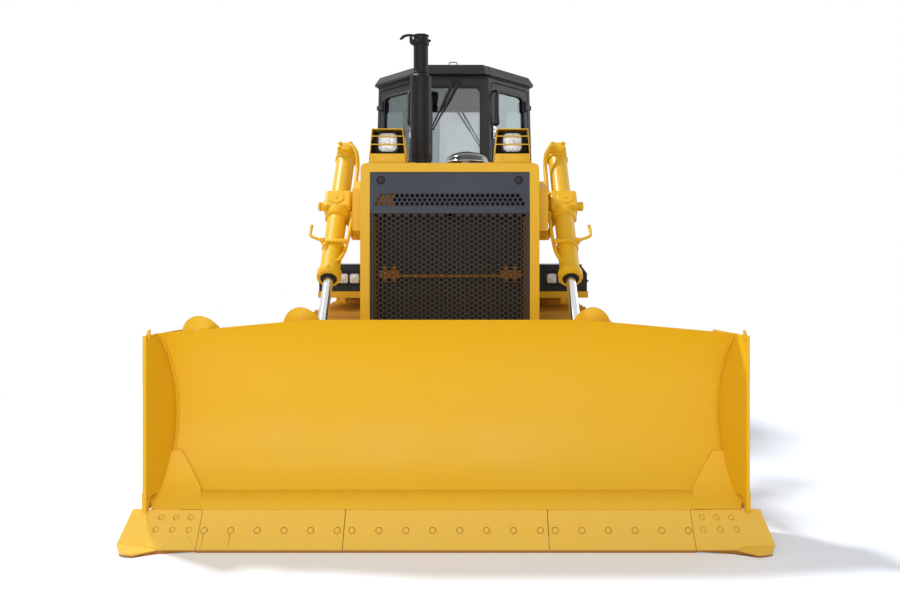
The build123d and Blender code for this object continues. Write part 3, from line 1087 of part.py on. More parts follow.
# wall, half width, bottom, top, corner radius of each window
WINDOWS = {
    FRONT: (CAB_FRONT_HALF - 96, 1790, WINDOW_TOP, 60),
    REAR_LEFT: (rear_face_half - 120, 2080, WINDOW_TOP, 70),
    REAR_RIGHT: (rear_face_half - 120, 2080, WINDOW_TOP, 70),
    REAR: (CAB_REAR_HALF - 110, 2170, WINDOW_TOP, 70),
}
DOOR_WINDOW = (door_half - DOOR_FRAME, DOOR_BOTTOM + 190, DOOR_TOP - DOOR_FRAME, 80)
walls = cab_shell(0, CAB_WALL)
glazing = cab_shell(CAB_GLASS_INSET, CAB_GLASS_INSET + CAB_GLASS)


def wall_block(number, side, start, end, inner, outer, bottom, height):
    """Box on a door wall: along the wall towards the waist, out from it and up it."""
    plane = wall_plane(number)[0]
    with BuildPart() as block:
        with BuildSketch(plane.offset(inner)):
            with Locations((side * (start + end) / 2, bottom + height / 2 - CAB_FLOOR)):
                Rectangle(end - start, height)
        extrude(amount=outer - inner)
    return block.part


def hinge_knuckle(number, side, bottom, height):
    """Round knuckle on the axis of a door's hinges."""
    plane = wall_plane(number)[0]
    foot = plane.from_local_coords((side * (door_half - HINGE_SET), bottom - CAB_FLOOR, HINGE_OUT))
    with BuildPart() as knuckle:
        with BuildSketch(Plane(origin=foot, z_dir=plane.y_dir)):
            Circle(HINGE_RADIUS)
        extrude(amount=height)
    return knuckle.part


with BuildPart() as cab_frame:
    add(walls)
    for number, (half, bottom, top, radius) in WINDOWS.items():
        add(wall_prism(number, half, bottom, top, radius), mode=Mode.SUBTRACT)
    for number in (DOOR_LEFT, DOOR_RIGHT):
        add(wall_prism(number, door_half + DOOR_GAP, DOOR_BOTTOM - DOOR_GAP, DOOR_TOP + DOOR_GAP, 60),
            mode=Mode.SUBTRACT)
    with BuildSketch(Plane.XY.offset(CAB_FLOOR)):
        with BuildLine():
            Polyline(*cab_plan, close=True)
        make_face()
        offset(amount=-10, kind=Kind.INTERSECTION, mode=Mode.REPLACE)
    extrude(amount=FLOOR_PLATE)
    for x, station in CAB_MOUNTS:
        for side in (-1, 1):
            with Locations((side * x, behind(station), FENDER_TOP)):
                Cylinder(60, CAB_FLOOR + 5 - FENDER_TOP, align=(Align.CENTER, Align.CENTER, Align.MIN))
    for number, side in ((DOOR_LEFT, 1), (DOOR_RIGHT, -1)):
        for height in HINGE_HEIGHTS:
            leaf_from = door_half - HINGE_SET
            leaf_to = door_half + DOOR_GAP + 44
            add(hinge_knuckle(number, side, height - HINGE_LEAF / 2, HINGE_LEAF))
            add(wall_block(number, side, leaf_from, leaf_to, 7, 15, height - HINGE_LEAF / 2, HINGE_LEAF))
            add(wall_block(number, side, leaf_to - 36, leaf_to, -4, 15, height - HINGE_LEAF / 2, HINGE_LEAF))
save(cab_frame, "cab_frame")

with BuildPart() as cab_glass:
    for number, (half, bottom, top, radius) in WINDOWS.items():
        with BuildPart(mode=Mode.PRIVATE) as pane:
            add(glazing)
            add(wall_prism(number, half - 0.5, bottom + 0.5, top - 0.5, radius), mode=Mode.INTERSECT)
        add(pane.part)
save(cab_glass, "cab_glass")

for name, number, side in (("left", DOOR_LEFT, 1), ("right", DOOR_RIGHT, -1)):
    half, bottom, top, radius = DOOR_WINDOW
    with BuildPart() as door:
        add(walls)
        add(wall_prism(number, door_half, DOOR_BOTTOM, DOOR_TOP, 52), mode=Mode.INTERSECT)
        add(wall_prism(number, half, bottom, top, radius), mode=Mode.SUBTRACT)
        # the bevel of the hinge edge
        with BuildSketch(Plane(origin=wall_plane(number)[0].origin, x_dir=wall_plane(number)[0].x_dir,
                               z_dir=wall_plane(number)[0].y_dir)):
            with BuildLine():
                Polyline((side * door_half, -2), (side * (door_half - DOOR_BEVEL), CAB_WALL + 2),
                         (side * (door_half + 40), CAB_WALL + 2), (side * (door_half + 40), -2), close=True)
            make_face()
        extrude(amount=CAB_EAVE, mode=Mode.SUBTRACT)
        for height in HINGE_HEIGHTS:
            for start in (height - HINGE_LEAF / 2 - SEAT - 30, height + HINGE_LEAF / 2 + SEAT):
                add(hinge_knuckle(number, side, start, 30))
                add(wall_block(number, side, door_half - HINGE_SET - 9, door_half - HINGE_SET + 9,
                               -4, HINGE_OUT, start, 30))
    save(door, f"door_{name}")
    with BuildPart() as door_glass:
        add(glazing)
        add(wall_prism(number, half - 0.5, bottom + 0.5, top - 0.5, radius), mode=Mode.INTERSECT)
    save(door_glass, f"door_glass_{name}")

with BuildPart() as cab_roof:
    lean_in = (CAB_EAVE - CAB_FLOOR) * sin(radians(CAB_LEAN)) / cos(radians(CAB_LEAN))
    for bottom, height, grow, taper, mode in (
            (CAB_EAVE, EAVE_BAND, ROOF_LIP, 0, Mode.ADD),
            (CAB_EAVE + EAVE_BAND, ROOF_RISE - EAVE_BAND, ROOF_LIP, ROOF_SLOPE, Mode.ADD)):
        with BuildSketch(Plane.XY.offset(bottom)):
            with BuildLine():
                Polyline(*cab_plan, close=True)
            make_face()
            offset(amount=grow - lean_in, kind=Kind.INTERSECTION, mode=Mode.REPLACE)
            with BuildLine():
                visor = behind(CAB_FRONT_BEHIND) - ROOF_LIP + lean_in
                run = ROOF_VISOR / (CAB_WAIST_BEHIND - CAB_FRONT_BEHIND) * (CAB_WAIST_HALF - CAB_FRONT_HALF)
                wide = CAB_FRONT_HALF + (grow - lean_in) * 0.5
                Polyline((-wide + 1, visor + 4), (wide - 1, visor + 4), (wide - run, visor - ROOF_VISOR),
                         (-wide + run, visor - ROOF_VISOR), close=True)
            make_face()
        extrude(amount=height, taper=taper, mode=mode)
save(cab_roof, "cab_roof")

# --------------------------------------------------------- fenders, boxes, tank and inside
FENDER_PLATE = 12
FENDER_HALF = 1228
FENDER_INNER = 300
FENDER_FRONT_BEHIND = 3010
FENDER_REAR_BEHIND = 4930
FENDER_SKIRT = 58
BOX_TOP = 1545
BOX_LENGTH = 420
BOX_INNER = HOOD_HALF + 14
TANK_FRONT_BEHIND = CAB_REAR_BEHIND + 45
TANK_REAR_BEHIND = CASE_REAR_BEHIND + 250
TANK_HALF = 640
TANK_BOTTOM = FENDER_TOP
TANK_TOP = 2150
SEAT_BEHIND = 3980
SEAT_BOX_WIDTH = 420
SEAT_BOX_LENGTH = 430
SEAT_BOX_HEIGHT = 300
CUSHION_WIDTH = 500
CUSHION_THICK = 110
BACKREST_HEIGHT = 730
CONSOLE_X = 400
CONSOLE_WIDTH = 190
CONSOLE_LENGTH = 520
DASH_HALF = 230
DASH_DEPTH = 180
DASH_TOP = 2010
floor_top = CAB_FLOOR + FLOOR_PLATE

with BuildPart() as fender:
    with BuildSketch(Plane.XY.offset(FENDER_TOP)):
        with BuildLine():
            Polyline((FENDER_INNER, behind(FENDER_FRONT_BEHIND)), (FENDER_HALF, behind(FENDER_FRONT_BEHIND)),
                     (FENDER_HALF, behind(FENDER_REAR_BEHIND)), (FENDER_INNER, behind(FENDER_REAR_BEHIND)),
                     close=True)
        make_face()
    extrude(amount=-FENDER_PLATE)
    # down-turned rim
    rim = FENDER_PLATE
    length = FENDER_REAR_BEHIND - FENDER_FRONT_BEHIND
    with Locations(((FENDER_INNER + FENDER_HALF) / 2, behind((FENDER_FRONT_BEHIND + FENDER_REAR_BEHIND) / 2),
                    FENDER_TOP)):
        Box(FENDER_HALF - FENDER_INNER, length, FENDER_SKIRT, align=(Align.CENTER, Align.CENTER, Align.MAX))
        Box(FENDER_HALF - FENDER_INNER - 2 * rim, length - 2 * rim, FENDER_SKIRT - FENDER_PLATE,
            align=(Align.CENTER, Align.CENTER, Align.MAX), mode=Mode.SUBTRACT)
    with Locations(((FENDER_INNER + FENDER_HALF) / 2, behind((FENDER_FRONT_BEHIND + FENDER_REAR_BEHIND) / 2),
                    FENDER_TOP)):
        Box(FENDER_HALF - FENDER_INNER, length, FENDER_PLATE, align=(Align.CENTER, Align.CENTER, Align.MAX))
    # pads that stand on the case's outriggers
    for station in (3760, 4840):
        with Locations(((FENDER_INNER + FENDER_HALF) / 2 - 60, behind(station), CASE_TOP)):
            Box(700, 110, FENDER_TOP - CASE_TOP, align=(Align.CENTER, Align.CENTER, Align.MIN))
save_pair(fender, "fender")

with BuildPart() as fender_box:
    with BuildSketch(Plane.XZ.offset(-behind(FENDER_FRONT_BEHIND + 4))):
        with BuildLine():
            Polyline((BOX_INNER, FENDER_TOP), (FENDER_HALF - 8, FENDER_TOP), (FENDER_HALF - 8, BOX_TOP - 70),
                     (FENDER_HALF - 60, BOX_TOP), (BOX_INNER, BOX_TOP), close=True)
        make_face()
    extrude(amount=-BOX_LENGTH)
    # clear of the cab's angled wall
    with BuildSketch(Plane.XY.offset(FENDER_TOP)):
        with BuildLine():
            gap = 14
            Polyline((0, behind(CAB_FRONT_BEHIND) - gap),
                     (CAB_FRONT_HALF + gap / 2, behind(CAB_FRONT_BEHIND) - gap),
                     (CAB_WAIST_HALF + 1.3 * gap, behind(CAB_WAIST_BEHIND)), (0, behind(CAB_WAIST_BEHIND)),
                     close=True)
        make_face()
    extrude(amount=400, mode=Mode.SUBTRACT)
    # recess of the lamp
    with BuildSketch(Plane.XZ.offset(-behind(FENDER_FRONT_BEHIND + 4))):
        with Locations((950, (FENDER_TOP + BOX_TOP) / 2)):
            RectangleRounded(230, 140, 20)
    extrude(amount=-60, mode=Mode.SUBTRACT)
save_pair(fender_box, "fender_box")

with BuildPart() as fender_lamps:
    for side in (-1, 1):
        with BuildSketch(Plane.XZ.offset(-behind(FENDER_FRONT_BEHIND + 24))):
            with Locations((side * 950, (FENDER_TOP + BOX_TOP) / 2)):
                RectangleRounded(206, 116, 18)
        extrude(amount=-40)
save(fender_lamps, "fender_lamps")

with BuildPart() as fuel_tank:
    with BuildSketch(Plane.YZ.offset(-TANK_HALF)):
        with BuildLine():
            Polyline((behind(TANK_FRONT_BEHIND), TANK_BOTTOM), (behind(TANK_REAR_BEHIND), TANK_BOTTOM),
                     (behind(TANK_REAR_BEHIND), TANK_TOP - 230), (behind(TANK_REAR_BEHIND - 170), TANK_TOP),
                     (behind(TANK_FRONT_BEHIND), TANK_TOP), close=True)
        make_face()
    extrude(amount=2 * TANK_HALF)
    fillet(edges().filter_by(Axis.X).sort_by(Axis.Y)[-3:], 60)
    # saddle that stands on the case
    with Locations((0, behind((TANK_FRONT_BEHIND + CASE_REAR_BEHIND) / 2), CASE_TOP)):
        Box(560, CASE_REAR_BEHIND - TANK_FRONT_BEHIND - 60, TANK_BOTTOM - CASE_TOP + 5,
            align=(Align.CENTER, Align.CENTER, Align.MIN))
save(fuel_tank, "fuel_tank")

with BuildPart() as seat_base:
    with Locations((0, behind(SEAT_BEHIND), floor_top)):
        Box(SEAT_BOX_WIDTH, SEAT_BOX_LENGTH, SEAT_BOX_HEIGHT,
            align=(Align.CENTER, Align.CENTER, Align.MIN))
save(seat_base, "seat_base")

with BuildPart() as seat_cushions:
    with BuildSketch(Plane.XY.offset(floor_top + SEAT_BOX_HEIGHT)):
        with Locations((0, behind(SEAT_BEHIND - 10))):
            RectangleRounded(CUSHION_WIDTH, CUSHION_WIDTH, 70)
    extrude(amount=CUSHION_THICK)
    with BuildSketch(Plane.XZ.offset(-behind(SEAT_BEHIND + 195))):
        with Locations((0, floor_top + SEAT_BOX_HEIGHT + CUSHION_THICK - 10 + BACKREST_HEIGHT / 2)):
            RectangleRounded(CUSHION_WIDTH - 20, BACKREST_HEIGHT, 100)
    extrude(amount=-CUSHION_THICK)
save(seat_cushions, "seat_cushions")

with BuildPart() as consoles:
    for side in (-1, 1):
        with Locations((side * CONSOLE_X, behind(SEAT_BEHIND), floor_top)):
            Box(CONSOLE_WIDTH, CONSOLE_LENGTH, CONSOLE_LENGTH,
                align=(Align.CENTER, Align.CENTER, Align.MIN))
    # dash in front of the operator
    dash_front = behind(CAB_FRONT_BEHIND + 70)
    with BuildSketch(Plane.YZ.offset(-DASH_HALF)):
        with BuildLine():
            Polyline((dash_front, floor_top), (dash_front + DASH_DEPTH, floor_top),
                     (dash_front + DASH_DEPTH, DASH_TOP - 130), (dash_front + 110, DASH_TOP),
                     (dash_front, DASH_TOP), close=True)
        make_face()
    extrude(amount=2 * DASH_HALF)
save(consoles, "consoles")
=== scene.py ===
import math

import bmesh
import bpy
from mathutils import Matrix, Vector


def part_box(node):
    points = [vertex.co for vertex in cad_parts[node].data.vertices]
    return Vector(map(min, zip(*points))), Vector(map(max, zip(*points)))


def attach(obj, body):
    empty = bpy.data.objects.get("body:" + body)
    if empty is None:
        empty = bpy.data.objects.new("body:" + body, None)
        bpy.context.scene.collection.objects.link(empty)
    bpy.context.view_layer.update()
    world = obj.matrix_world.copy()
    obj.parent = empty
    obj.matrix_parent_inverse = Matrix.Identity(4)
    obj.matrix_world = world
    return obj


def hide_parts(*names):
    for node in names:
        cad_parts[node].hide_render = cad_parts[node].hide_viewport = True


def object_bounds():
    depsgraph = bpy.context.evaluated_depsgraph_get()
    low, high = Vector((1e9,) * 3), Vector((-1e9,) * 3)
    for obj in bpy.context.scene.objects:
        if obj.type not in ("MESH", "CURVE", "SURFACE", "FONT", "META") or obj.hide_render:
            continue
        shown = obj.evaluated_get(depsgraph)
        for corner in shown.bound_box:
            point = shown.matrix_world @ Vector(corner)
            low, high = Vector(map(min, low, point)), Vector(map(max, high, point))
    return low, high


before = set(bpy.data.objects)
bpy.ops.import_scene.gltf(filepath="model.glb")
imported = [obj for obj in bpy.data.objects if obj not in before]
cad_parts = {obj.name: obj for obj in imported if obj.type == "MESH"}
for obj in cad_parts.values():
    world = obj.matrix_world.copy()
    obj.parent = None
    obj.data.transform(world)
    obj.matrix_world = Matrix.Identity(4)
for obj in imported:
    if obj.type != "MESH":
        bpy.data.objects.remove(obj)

# A crawler bulldozer: steel hull on two tracks, push arms and blade in front, a hood over the
# engine, a steel cab behind it. Metres, +Z up, the blade faces -Y, the machine's left is +X.
CAD_LOW, CAD_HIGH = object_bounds()


def low(name):
    """Lowest corner of a carried-over node."""
    return Vector(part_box(name)[0])


def high(name):
    """Highest corner of a carried-over node."""
    return Vector(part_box(name)[1])


def middle(name):
    """Centre of a carried-over node's box."""
    return (low(name) + high(name)) / 2


LIP = low("cutting_edges").y         # the cutting edge's lip
SIDES = (("left", 1), ("right", -1))
X, Y, Z = Vector((1, 0, 0)), Vector((0, 1, 0)), Vector((0, 0, 1))


def at(x, back, z):
    """A point, given by its distance back from the lip."""
    return Vector((x, LIP + back, z))


# ------------------------------------------------------------ main frame, rear case, track frames
# Welded plate and castings, sprayed with two-pack polyurethane enamel over primer and baked.
# The coat is glossy but slightly rippled, and it gathers pale dust where nothing rubs it.

def linear(colour):
    """The linear colour that shaders take, from an sRGB hex value."""
    parts = [int(colour[i:i + 2], 16) / 255 for i in (1, 3, 5)]
    return (*[c / 12.92 if c <= 0.04045 else ((c + 0.055) / 1.055) ** 2.4 for c in parts], 1)


def node(tree, kind, sockets=None, **properties):
    """Adds a shader node; a socket is given a value, or another node's output to link."""
    made = tree.nodes.new("ShaderNode" + kind)
    for name, value in properties.items():
        setattr(made, name, value)
    for name, value in (sockets or {}).items():
        if isinstance(value, bpy.types.NodeSocket):
            tree.links.new(value, made.inputs[name])
        else:
            made.inputs[name].default_value = value
    return made


def new_material(name):
    """An empty material with its output node; returns the material, its tree and that node."""
    material = bpy.data.materials.new(name)
    material.use_nodes = True
    tree = material.node_tree
    tree.nodes.clear()
    return material, tree, tree.nodes.new("ShaderNodeOutputMaterial")


def coat(tree, out, sockets):
    """Ends a material in a Principled shader with these sockets."""
    shader = node(tree, "BsdfPrincipled", sockets)
    tree.links.new(shader.outputs[0], out.inputs["Surface"])


def noise(tree, size, detail=3, roughness=0.55, where=None):
    """Noise whose blotches are about size metres across, in the machine's own coordinates."""
    where = where or node(tree, "TexCoord").outputs["Object"]
    return node(tree, "TexNoise", {"Vector": where, "Scale": 1 / size, "Detail": detail,
                                   "Roughness": roughness}).outputs["Fac"]


def spread(tree, value, start, end, to_start=0.0, to_end=1.0):
    """Maps a value from one range to another, clamped."""
    return node(tree, "MapRange", {"Value": value, "From Min": start, "From Max": end,
                                   "To Min": to_start, "To Max": to_end}).outputs["Result"]


def mixed(tree, factor, first, second, blend="MIX"):
    """Mixes two colours, given as linear tuples or sockets."""
    mix = node(tree, "Mix", data_type="RGBA", blend_type=blend)
    for index, value in ((0, factor), (6, first), (7, second)):
        if isinstance(value, bpy.types.NodeSocket):
            tree.links.new(value, mix.inputs[index])
        else:
            mix.inputs[index].default_value = value
    return mix.outputs[2]


def height(tree):
    """Height above the ground, in metres."""
    return node(tree, "SeparateXYZ", {0: node(tree, "TexCoord").outputs["Object"]}).outputs["Z"]


EDGE_ROUND = 0.003                   # a painted edge's radius
PEEL_WAVE = 0.011                    # orange peel is 2 to 4 mm, drawn coarser so that it shows


def enamel(name, colour, dust, roughness, dust_amount=0.25, clear=0.15, chips=None, splash=0.0,
           bottom_band=None):
    """Sprayed and baked enamel: even colour, faint orange peel, dust in broad patches.

    Chips are bare metal that shows where the wearing edges have lost their paint; splash is
    how high, in metres, dried mud from the ground reaches; the bottom band's colour, if given,
    tints the lowest 16 mm, fully below 8 mm; clear is the weight of the clear coat."""
    material, tree, out = new_material(name)
    patches = spread(tree, noise(tree, 0.9, 6, 0.65), 0.42, 0.78, 0, dust_amount)
    specks = spread(tree, noise(tree, 0.05, 4, 0.6), 0.55, 0.8, 0, dust_amount * 0.5)
    body = mixed(tree, patches, linear(colour), linear(dust))
    body = mixed(tree, specks, body, linear(dust))
    if splash:
        reach = spread(tree, height(tree), 0, splash, 1, 0)
        blotch = spread(tree, noise(tree, 0.12, 6, 0.7), 0.38, 0.62, 0, 0.55)
        mud = node(tree, "Math", {0: reach, 1: blotch}, operation="MULTIPLY").outputs[0]
        body = mixed(tree, mud, body, linear("#7C6A50"))
    if bottom_band:
        body = mixed(tree, spread(tree, height(tree), 0.016, 0.008), body, linear(bottom_band))
    rounded = node(tree, "Bevel", {"Radius": EDGE_ROUND}, samples=4).outputs["Normal"]
    if chips:
        sharp = node(tree, "VectorMath", {0: node(tree, "Bevel", {"Radius": 0.006}, samples=4)
                                          .outputs["Normal"],
                                          1: node(tree, "NewGeometry").outputs["Normal"]},
                     operation="DOT_PRODUCT").outputs["Value"]
        ragged = node(tree, "Math", {0: sharp, 1: noise(tree, 0.03, 5, 0.7)},
                      operation="ADD").outputs[0]
        worn = spread(tree, ragged, 1.36, 1.28, 0, 0.85)
        body = mixed(tree, worn, body, linear(chips))
    rough = spread(tree, noise(tree, 0.35, 4), 0.3, 0.7, roughness - 0.05, roughness + 0.07)
    peel = node(tree, "Bump", {"Height": noise(tree, PEEL_WAVE, 2), "Strength": 0.035,
                               "Distance": 0.002, "Normal": rounded}).outputs["Normal"]
    coat(tree, out, {
        "Base Color": body, "Roughness": rough, "IOR": 1.5, "Specular IOR Level": 0.22,
        "Coat Weight": clear, "Coat Roughness": 0.18, "Normal": peel})
    return material


def dress(material, *names):
    """Gives carried-over nodes their finish."""
    for name in names:
        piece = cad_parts[name]
        piece.data.materials.clear()
        piece.data.materials.append(material)


def turned(shape, start, axis, profile, sides=24):
    """Adds a body of revolution from (along, radius) points, spun about an axis from start."""
    axis = axis.normalized()
    across = axis.orthogonal().normalized()
    up = axis.cross(across)
    rings = []
    for along, radius in profile:
        count = sides if radius else 1
        rings.append([shape.verts.new(start + axis * along + radius * (
            across * math.cos(math.tau * turn / sides) + up * math.sin(math.tau * turn / sides)))
            for turn in range(count)])
    for one, two in zip(rings, rings[1:]):
        for turn in range(sides):
            after = (turn + 1) % sides
            corners = [one[turn % len(one)], one[after % len(one)],
                       two[after % len(two)], two[turn % len(two)]]
            corners = list(dict.fromkeys(corners))
            if len(corners) > 2:
                shape.faces.new(corners)


def slab(shape, outline, thickness, origin, right, up, bevel=0.0):
    """Adds a plate: an outline in the plane of right and up, thick along their normal."""
    right, up = right.normalized(), up.normalized()
    out = right.cross(up) * thickness
    flat = [origin + right * a + up * b for a, b in outline]
    front = [shape.verts.new(corner) for corner in flat]
    back = [shape.verts.new(corner + out) for corner in flat]
    faces = [shape.faces.new(front), shape.faces.new(back)]
    for index in range(len(flat)):
        after = (index + 1) % len(flat)
        faces.append(shape.faces.new((front[index], front[after], back[after], back[index])))
    if bevel:
        edges = list({edge for face in faces for edge in face.edges})
        bmesh.ops.recalc_face_normals(shape, faces=faces)
        bmesh.ops.bevel(shape, geom=edges, offset=bevel, segments=2, profile=0.5,
                        affect="EDGES", clamp_overlap=True)


def block(shape, center, size, bevel=0.0, right=X, up=Z):
    """Adds a box with rounded edges about its centre; size is along right, depth and up."""
    wide, deep, tall = size
    depth = right.normalized().cross(up.normalized())
    slab(shape, [(-wide / 2, -tall / 2), (wide / 2, -tall / 2), (wide / 2, tall / 2),
                 (-wide / 2, tall / 2)], deep, center - depth * deep / 2, right, up, bevel)


def rounded_outline(wide, tall, radius, steps=5):
    """Outline of a rectangle with rounded corners about the middle."""
    points = []
    for a, b, start in ((1, 1, 0), (-1, 1, 90), (-1, -1, 180), (1, -1, 270)):
        for step in range(steps + 1):
            turn = math.radians(start + 90 * step / steps)
            points.append((a * (wide / 2 - radius) + radius * math.cos(turn),
                           b * (tall / 2 - radius) + radius * math.sin(turn)))
    return points


def trail(place, *points):
    """Several points, each placed by the same function."""
    return [place(*point) for point in points]


def softened(points, bend):
    """A polyline whose corners are rounded off over a length of bend on each side."""
    smooth = [points[0]]
    for before, corner, after in zip(points, points[1:], points[2:]):
        start = corner + (before - corner).normalized() * min(bend,
                                                              (before - corner).length * 0.49)
        end = corner + (after - corner).normalized() * min(bend, (after - corner).length * 0.49)
        for step in range(7):
            part = step / 6
            smooth.append(start * (1 - part) ** 2 + corner * 2 * part * (1 - part)
                          + end * part ** 2)
    return smooth + [points[-1]]


def loft(shape, rings):
    """Joins closed loops of as many vertices each, one to the next."""
    for one, two in zip(rings, rings[1:]):
        for index in range(len(one)):
            after = (index + 1) % len(one)
            shape.faces.new((one[index], one[after], two[after], two[index]))


def circle(count, radius, start=0.0):
    """Points evenly round a circle, as (across, up) pairs; start is a share of one step."""
    turns = [math.tau * (step + start) / count for step in range(count)]
    return [(radius * math.cos(turn), radius * math.sin(turn)) for turn in turns]


def tube(shape, points, radius, bend=0.0, sides=12, closed=False):
    """Adds a bent round bar or pipe along points."""
    path = softened(points, bend) if bend else list(points)
    rings = []
    across = None
    for index, point in enumerate(path):
        before = path[index - 1] if index or closed else point
        after = path[(index + 1) % len(path)] if index + 1 < len(path) or closed else point
        run = (after - before).normalized()
        across = run.orthogonal() if across is None else across - run * across.dot(run)
        across.normalize()
        up = run.cross(across)
        rings.append([shape.verts.new(point + radius * (across * math.cos(math.tau * turn / sides)
                                                        + up * math.sin(math.tau * turn / sides)))
                      for turn in range(sides)])
    loft(shape, rings + rings[:1] if closed else rings)
    if not closed:
        shape.faces.new(rings[0])
        shape.faces.new(rings[-1])


def bolt(shape, seat, axis, across=0.024, washer=True):
    """Adds a hexagon head with its washer, its axis pointing away from the seat."""
    thick = across * 0.12 if washer else 0
    if washer:
        turned(shape, seat, axis, [(-0.002, 0), (-0.002, across * 0.95), (thick, across * 0.95),
                                   (thick, 0)], 16)
    turned(shape, seat, axis, [(thick, across * 0.577), (thick + across * 0.5, across * 0.577),
                               (thick + across * 0.62, across * 0.46), (thick + across * 0.62, 0)],
           6)


def bolt_circle(shape, center, axis, count, radius, across, start=0.0, right=Y, up=Z):
    """Adds bolts evenly round a center."""
    for a, b in circle(count, radius, start):
        bolt(shape, center + right * a + up * b, axis, across)


def made(name, shape, material, body="root", slot="machine_paint", smooth=35):
    """Turns finished mesh code into a piece with its finish, riding on a body."""
    bmesh.ops.recalc_face_normals(shape, faces=shape.faces[:])
    mesh = bpy.data.meshes.new(name)
    shape.to_mesh(mesh)
    shape.free()
    mesh.materials.append(material)
    if smooth:
        mesh.shade_smooth()
        mesh.set_sharp_from_angle(angle=math.radians(smooth))
    piece = bpy.data.objects.new(name, mesh)
    bpy.context.collection.objects.link(piece)
    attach(piece, body)
    return piece


YELLOW = "#E5B31C"
yellow_enamel = enamel("yellow_enamel", YELLOW, "#DDAE4E", 0.42, 0.2, 0.08)
frame_enamel = enamel("frame_enamel", "#D9A12C", "#A98A56", 0.5, 0.5, 0.05, splash=1.1)
black_enamel = enamel("black_enamel", "#191A1D", "#2A2B2E", 0.42, 0.2, 0.05)
dress(frame_enamel, "main_frame", "rear_case", "equalizer_bar", "drawbar", "track_frame_left",
      "track_frame_right")

shape = bmesh.new()
case_back = high("rear_case").y - LIP
for x in (-0.22, 0.22):
    for z in (0.62, 1.04):
        bolt(shape, at(x, case_back, z), Y, 0.036)
turned(shape, at(0, case_back - 0.004, 0.83), Y, [(0, 0), (0, 0.15), (0.022, 0.15), (0.03, 0.13),
                                                   (0.03, 0)], 32)
bolt_circle(shape, at(0, case_back + 0.02, 0.83), Y, 8, 0.125, 0.018, right=X)
made("rear_case_bolts", shape, frame_enamel)

# ------------------------------------------------------------------------ tracks and their wheels
# Forged links and rolled shoes, quenched and painted with the machine; what rolls and what
# grips the ground is soon bare and browned.
track_enamel = enamel("track_enamel", "#D8A02C", "#7A5F42", 0.52, 0.5, 0, chips="#5A4A3C",
                      splash=0.9)
dress(track_enamel, *[f"{name}_{side}" for name in ("track", "rollers", "idler", "sprocket")
                      for side in ("left", "right")])

SHOES = 38
PITCH = 0.216
TRACK_X = middle("track_left").x
AXLE_Z = middle("idler_left").z
IDLER_Y = middle("idler_left").y
SPROCKET_Y = middle("sprocket_left").y
WHEELBASE = SPROCKET_Y - IDLER_Y
PITCH_RADIUS = (SHOES * PITCH - 2 * WHEELBASE) / math.tau
RAIL_OFFSET = 0.082                  # of each rail from the chain's middle
SHOE_TOP = 0.068                     # from the pin line to a shoe's outer face


def pin_point(number):
    """A track pin's place in the plane of the loop, counted rearwards from under the idler."""
    run = (number % SHOES) * PITCH
    half_turn = math.pi * PITCH_RADIUS
    if run < WHEELBASE:
        return Vector((0, IDLER_Y + run, AXLE_Z - PITCH_RADIUS))
    run -= WHEELBASE
    if run < half_turn:
        turn = run / PITCH_RADIUS
        return Vector((0, SPROCKET_Y + PITCH_RADIUS * math.sin(turn),
                       AXLE_Z - PITCH_RADIUS * math.cos(turn)))
    run -= half_turn
    if run < WHEELBASE:
        return Vector((0, SPROCKET_Y - run, AXLE_Z + PITCH_RADIUS))
    turn = (run - WHEELBASE) / PITCH_RADIUS
    return Vector((0, IDLER_Y - PITCH_RADIUS * math.sin(turn),
                   AXLE_Z + PITCH_RADIUS * math.cos(turn)))


# Each link is a forged bar, waisted between its pin bosses, bolted to its shoe four times.
LINK_SIDE = [(-0.036, -0.02), (-0.03, 0.034), (0.02, 0.046), (0.19, 0.046), (0.246, 0.034),
             (0.25, -0.016), (0.226, -0.046), (0.19, -0.05), (0.16, -0.028), (0.06, -0.028),
             (0.03, -0.05), (-0.01, -0.046)]
for name, side in SIDES:
    links, bolts = bmesh.new(), bmesh.new()
    for number in range(SHOES):
        start, end = pin_point(number), pin_point(number + 1)
        along = (end - start).normalized()
        out = Vector((0, along.z, -along.y))
        for inner in (-1, 1):
            rail = Vector((side * (TRACK_X + inner * RAIL_OFFSET), 0, 0))
            slab(links, LINK_SIDE, 0.014, start + rail + X * side * inner * 0.0235, along, out,
                 0.003)
            turned(links, start + rail, X * side * inner, [(0.02, 0.041), (0.045, 0.041),
                   (0.05, 0.036), (0.05, 0.021), (0.056, 0.019), (0.056, 0)], 14)
            for where in (0.075, 0.15):
                seat = start + rail + along * where + out * SHOE_TOP
                bolt(bolts, seat + X * side * inner * 0.004, out, 0.026, washer=False)
    made(f"track_links_{name}", links, track_enamel, slot="track_paint")
    made(f"shoe_bolts_{name}", bolts, track_enamel, slot="track_paint")

# Idler hub, sprocket segments and the final drive's cover, all turned castings.
greased = enamel("greased_casting", "#C8922A", "#6A5236", 0.5, 0.6, 0, splash=0.8)
for name, side in SIDES:
    shape = bmesh.new()
    hub = Vector((side * (TRACK_X + 0.078), IDLER_Y, AXLE_Z))
    turned(shape, hub, X * side, [(0, 0.15), (0.012, 0.15), (0.02, 0.13), (0.02, 0.1),
                                  (0.045, 0.09), (0.045, 0)], 40)
    bolt_circle(shape, hub + X * side * 0.014, X * side, 6, 0.128, 0.018)
    drive = Vector((side * (TRACK_X + 0.035), SPROCKET_Y, AXLE_Z))
    bolt_circle(shape, drive + X * side * 0.012, X * side, 25, 0.282, 0.022, 0.5)
    face = Vector((side * high("sprocket_left").x, SPROCKET_Y, AXLE_Z))
    turned(shape, face, X * side, [(-0.002, 0.078), (0.01, 0.076), (0.016, 0.06), (0.016, 0.03),
                                   (0.022, 0.026), (0.022, 0)], 32)
    bolt_circle(shape, drive + X * side * 0.1, X * side, 12, 0.198, 0.018)
    made(f"wheel_bolts_{name}", shape, greased, slot="track_paint")

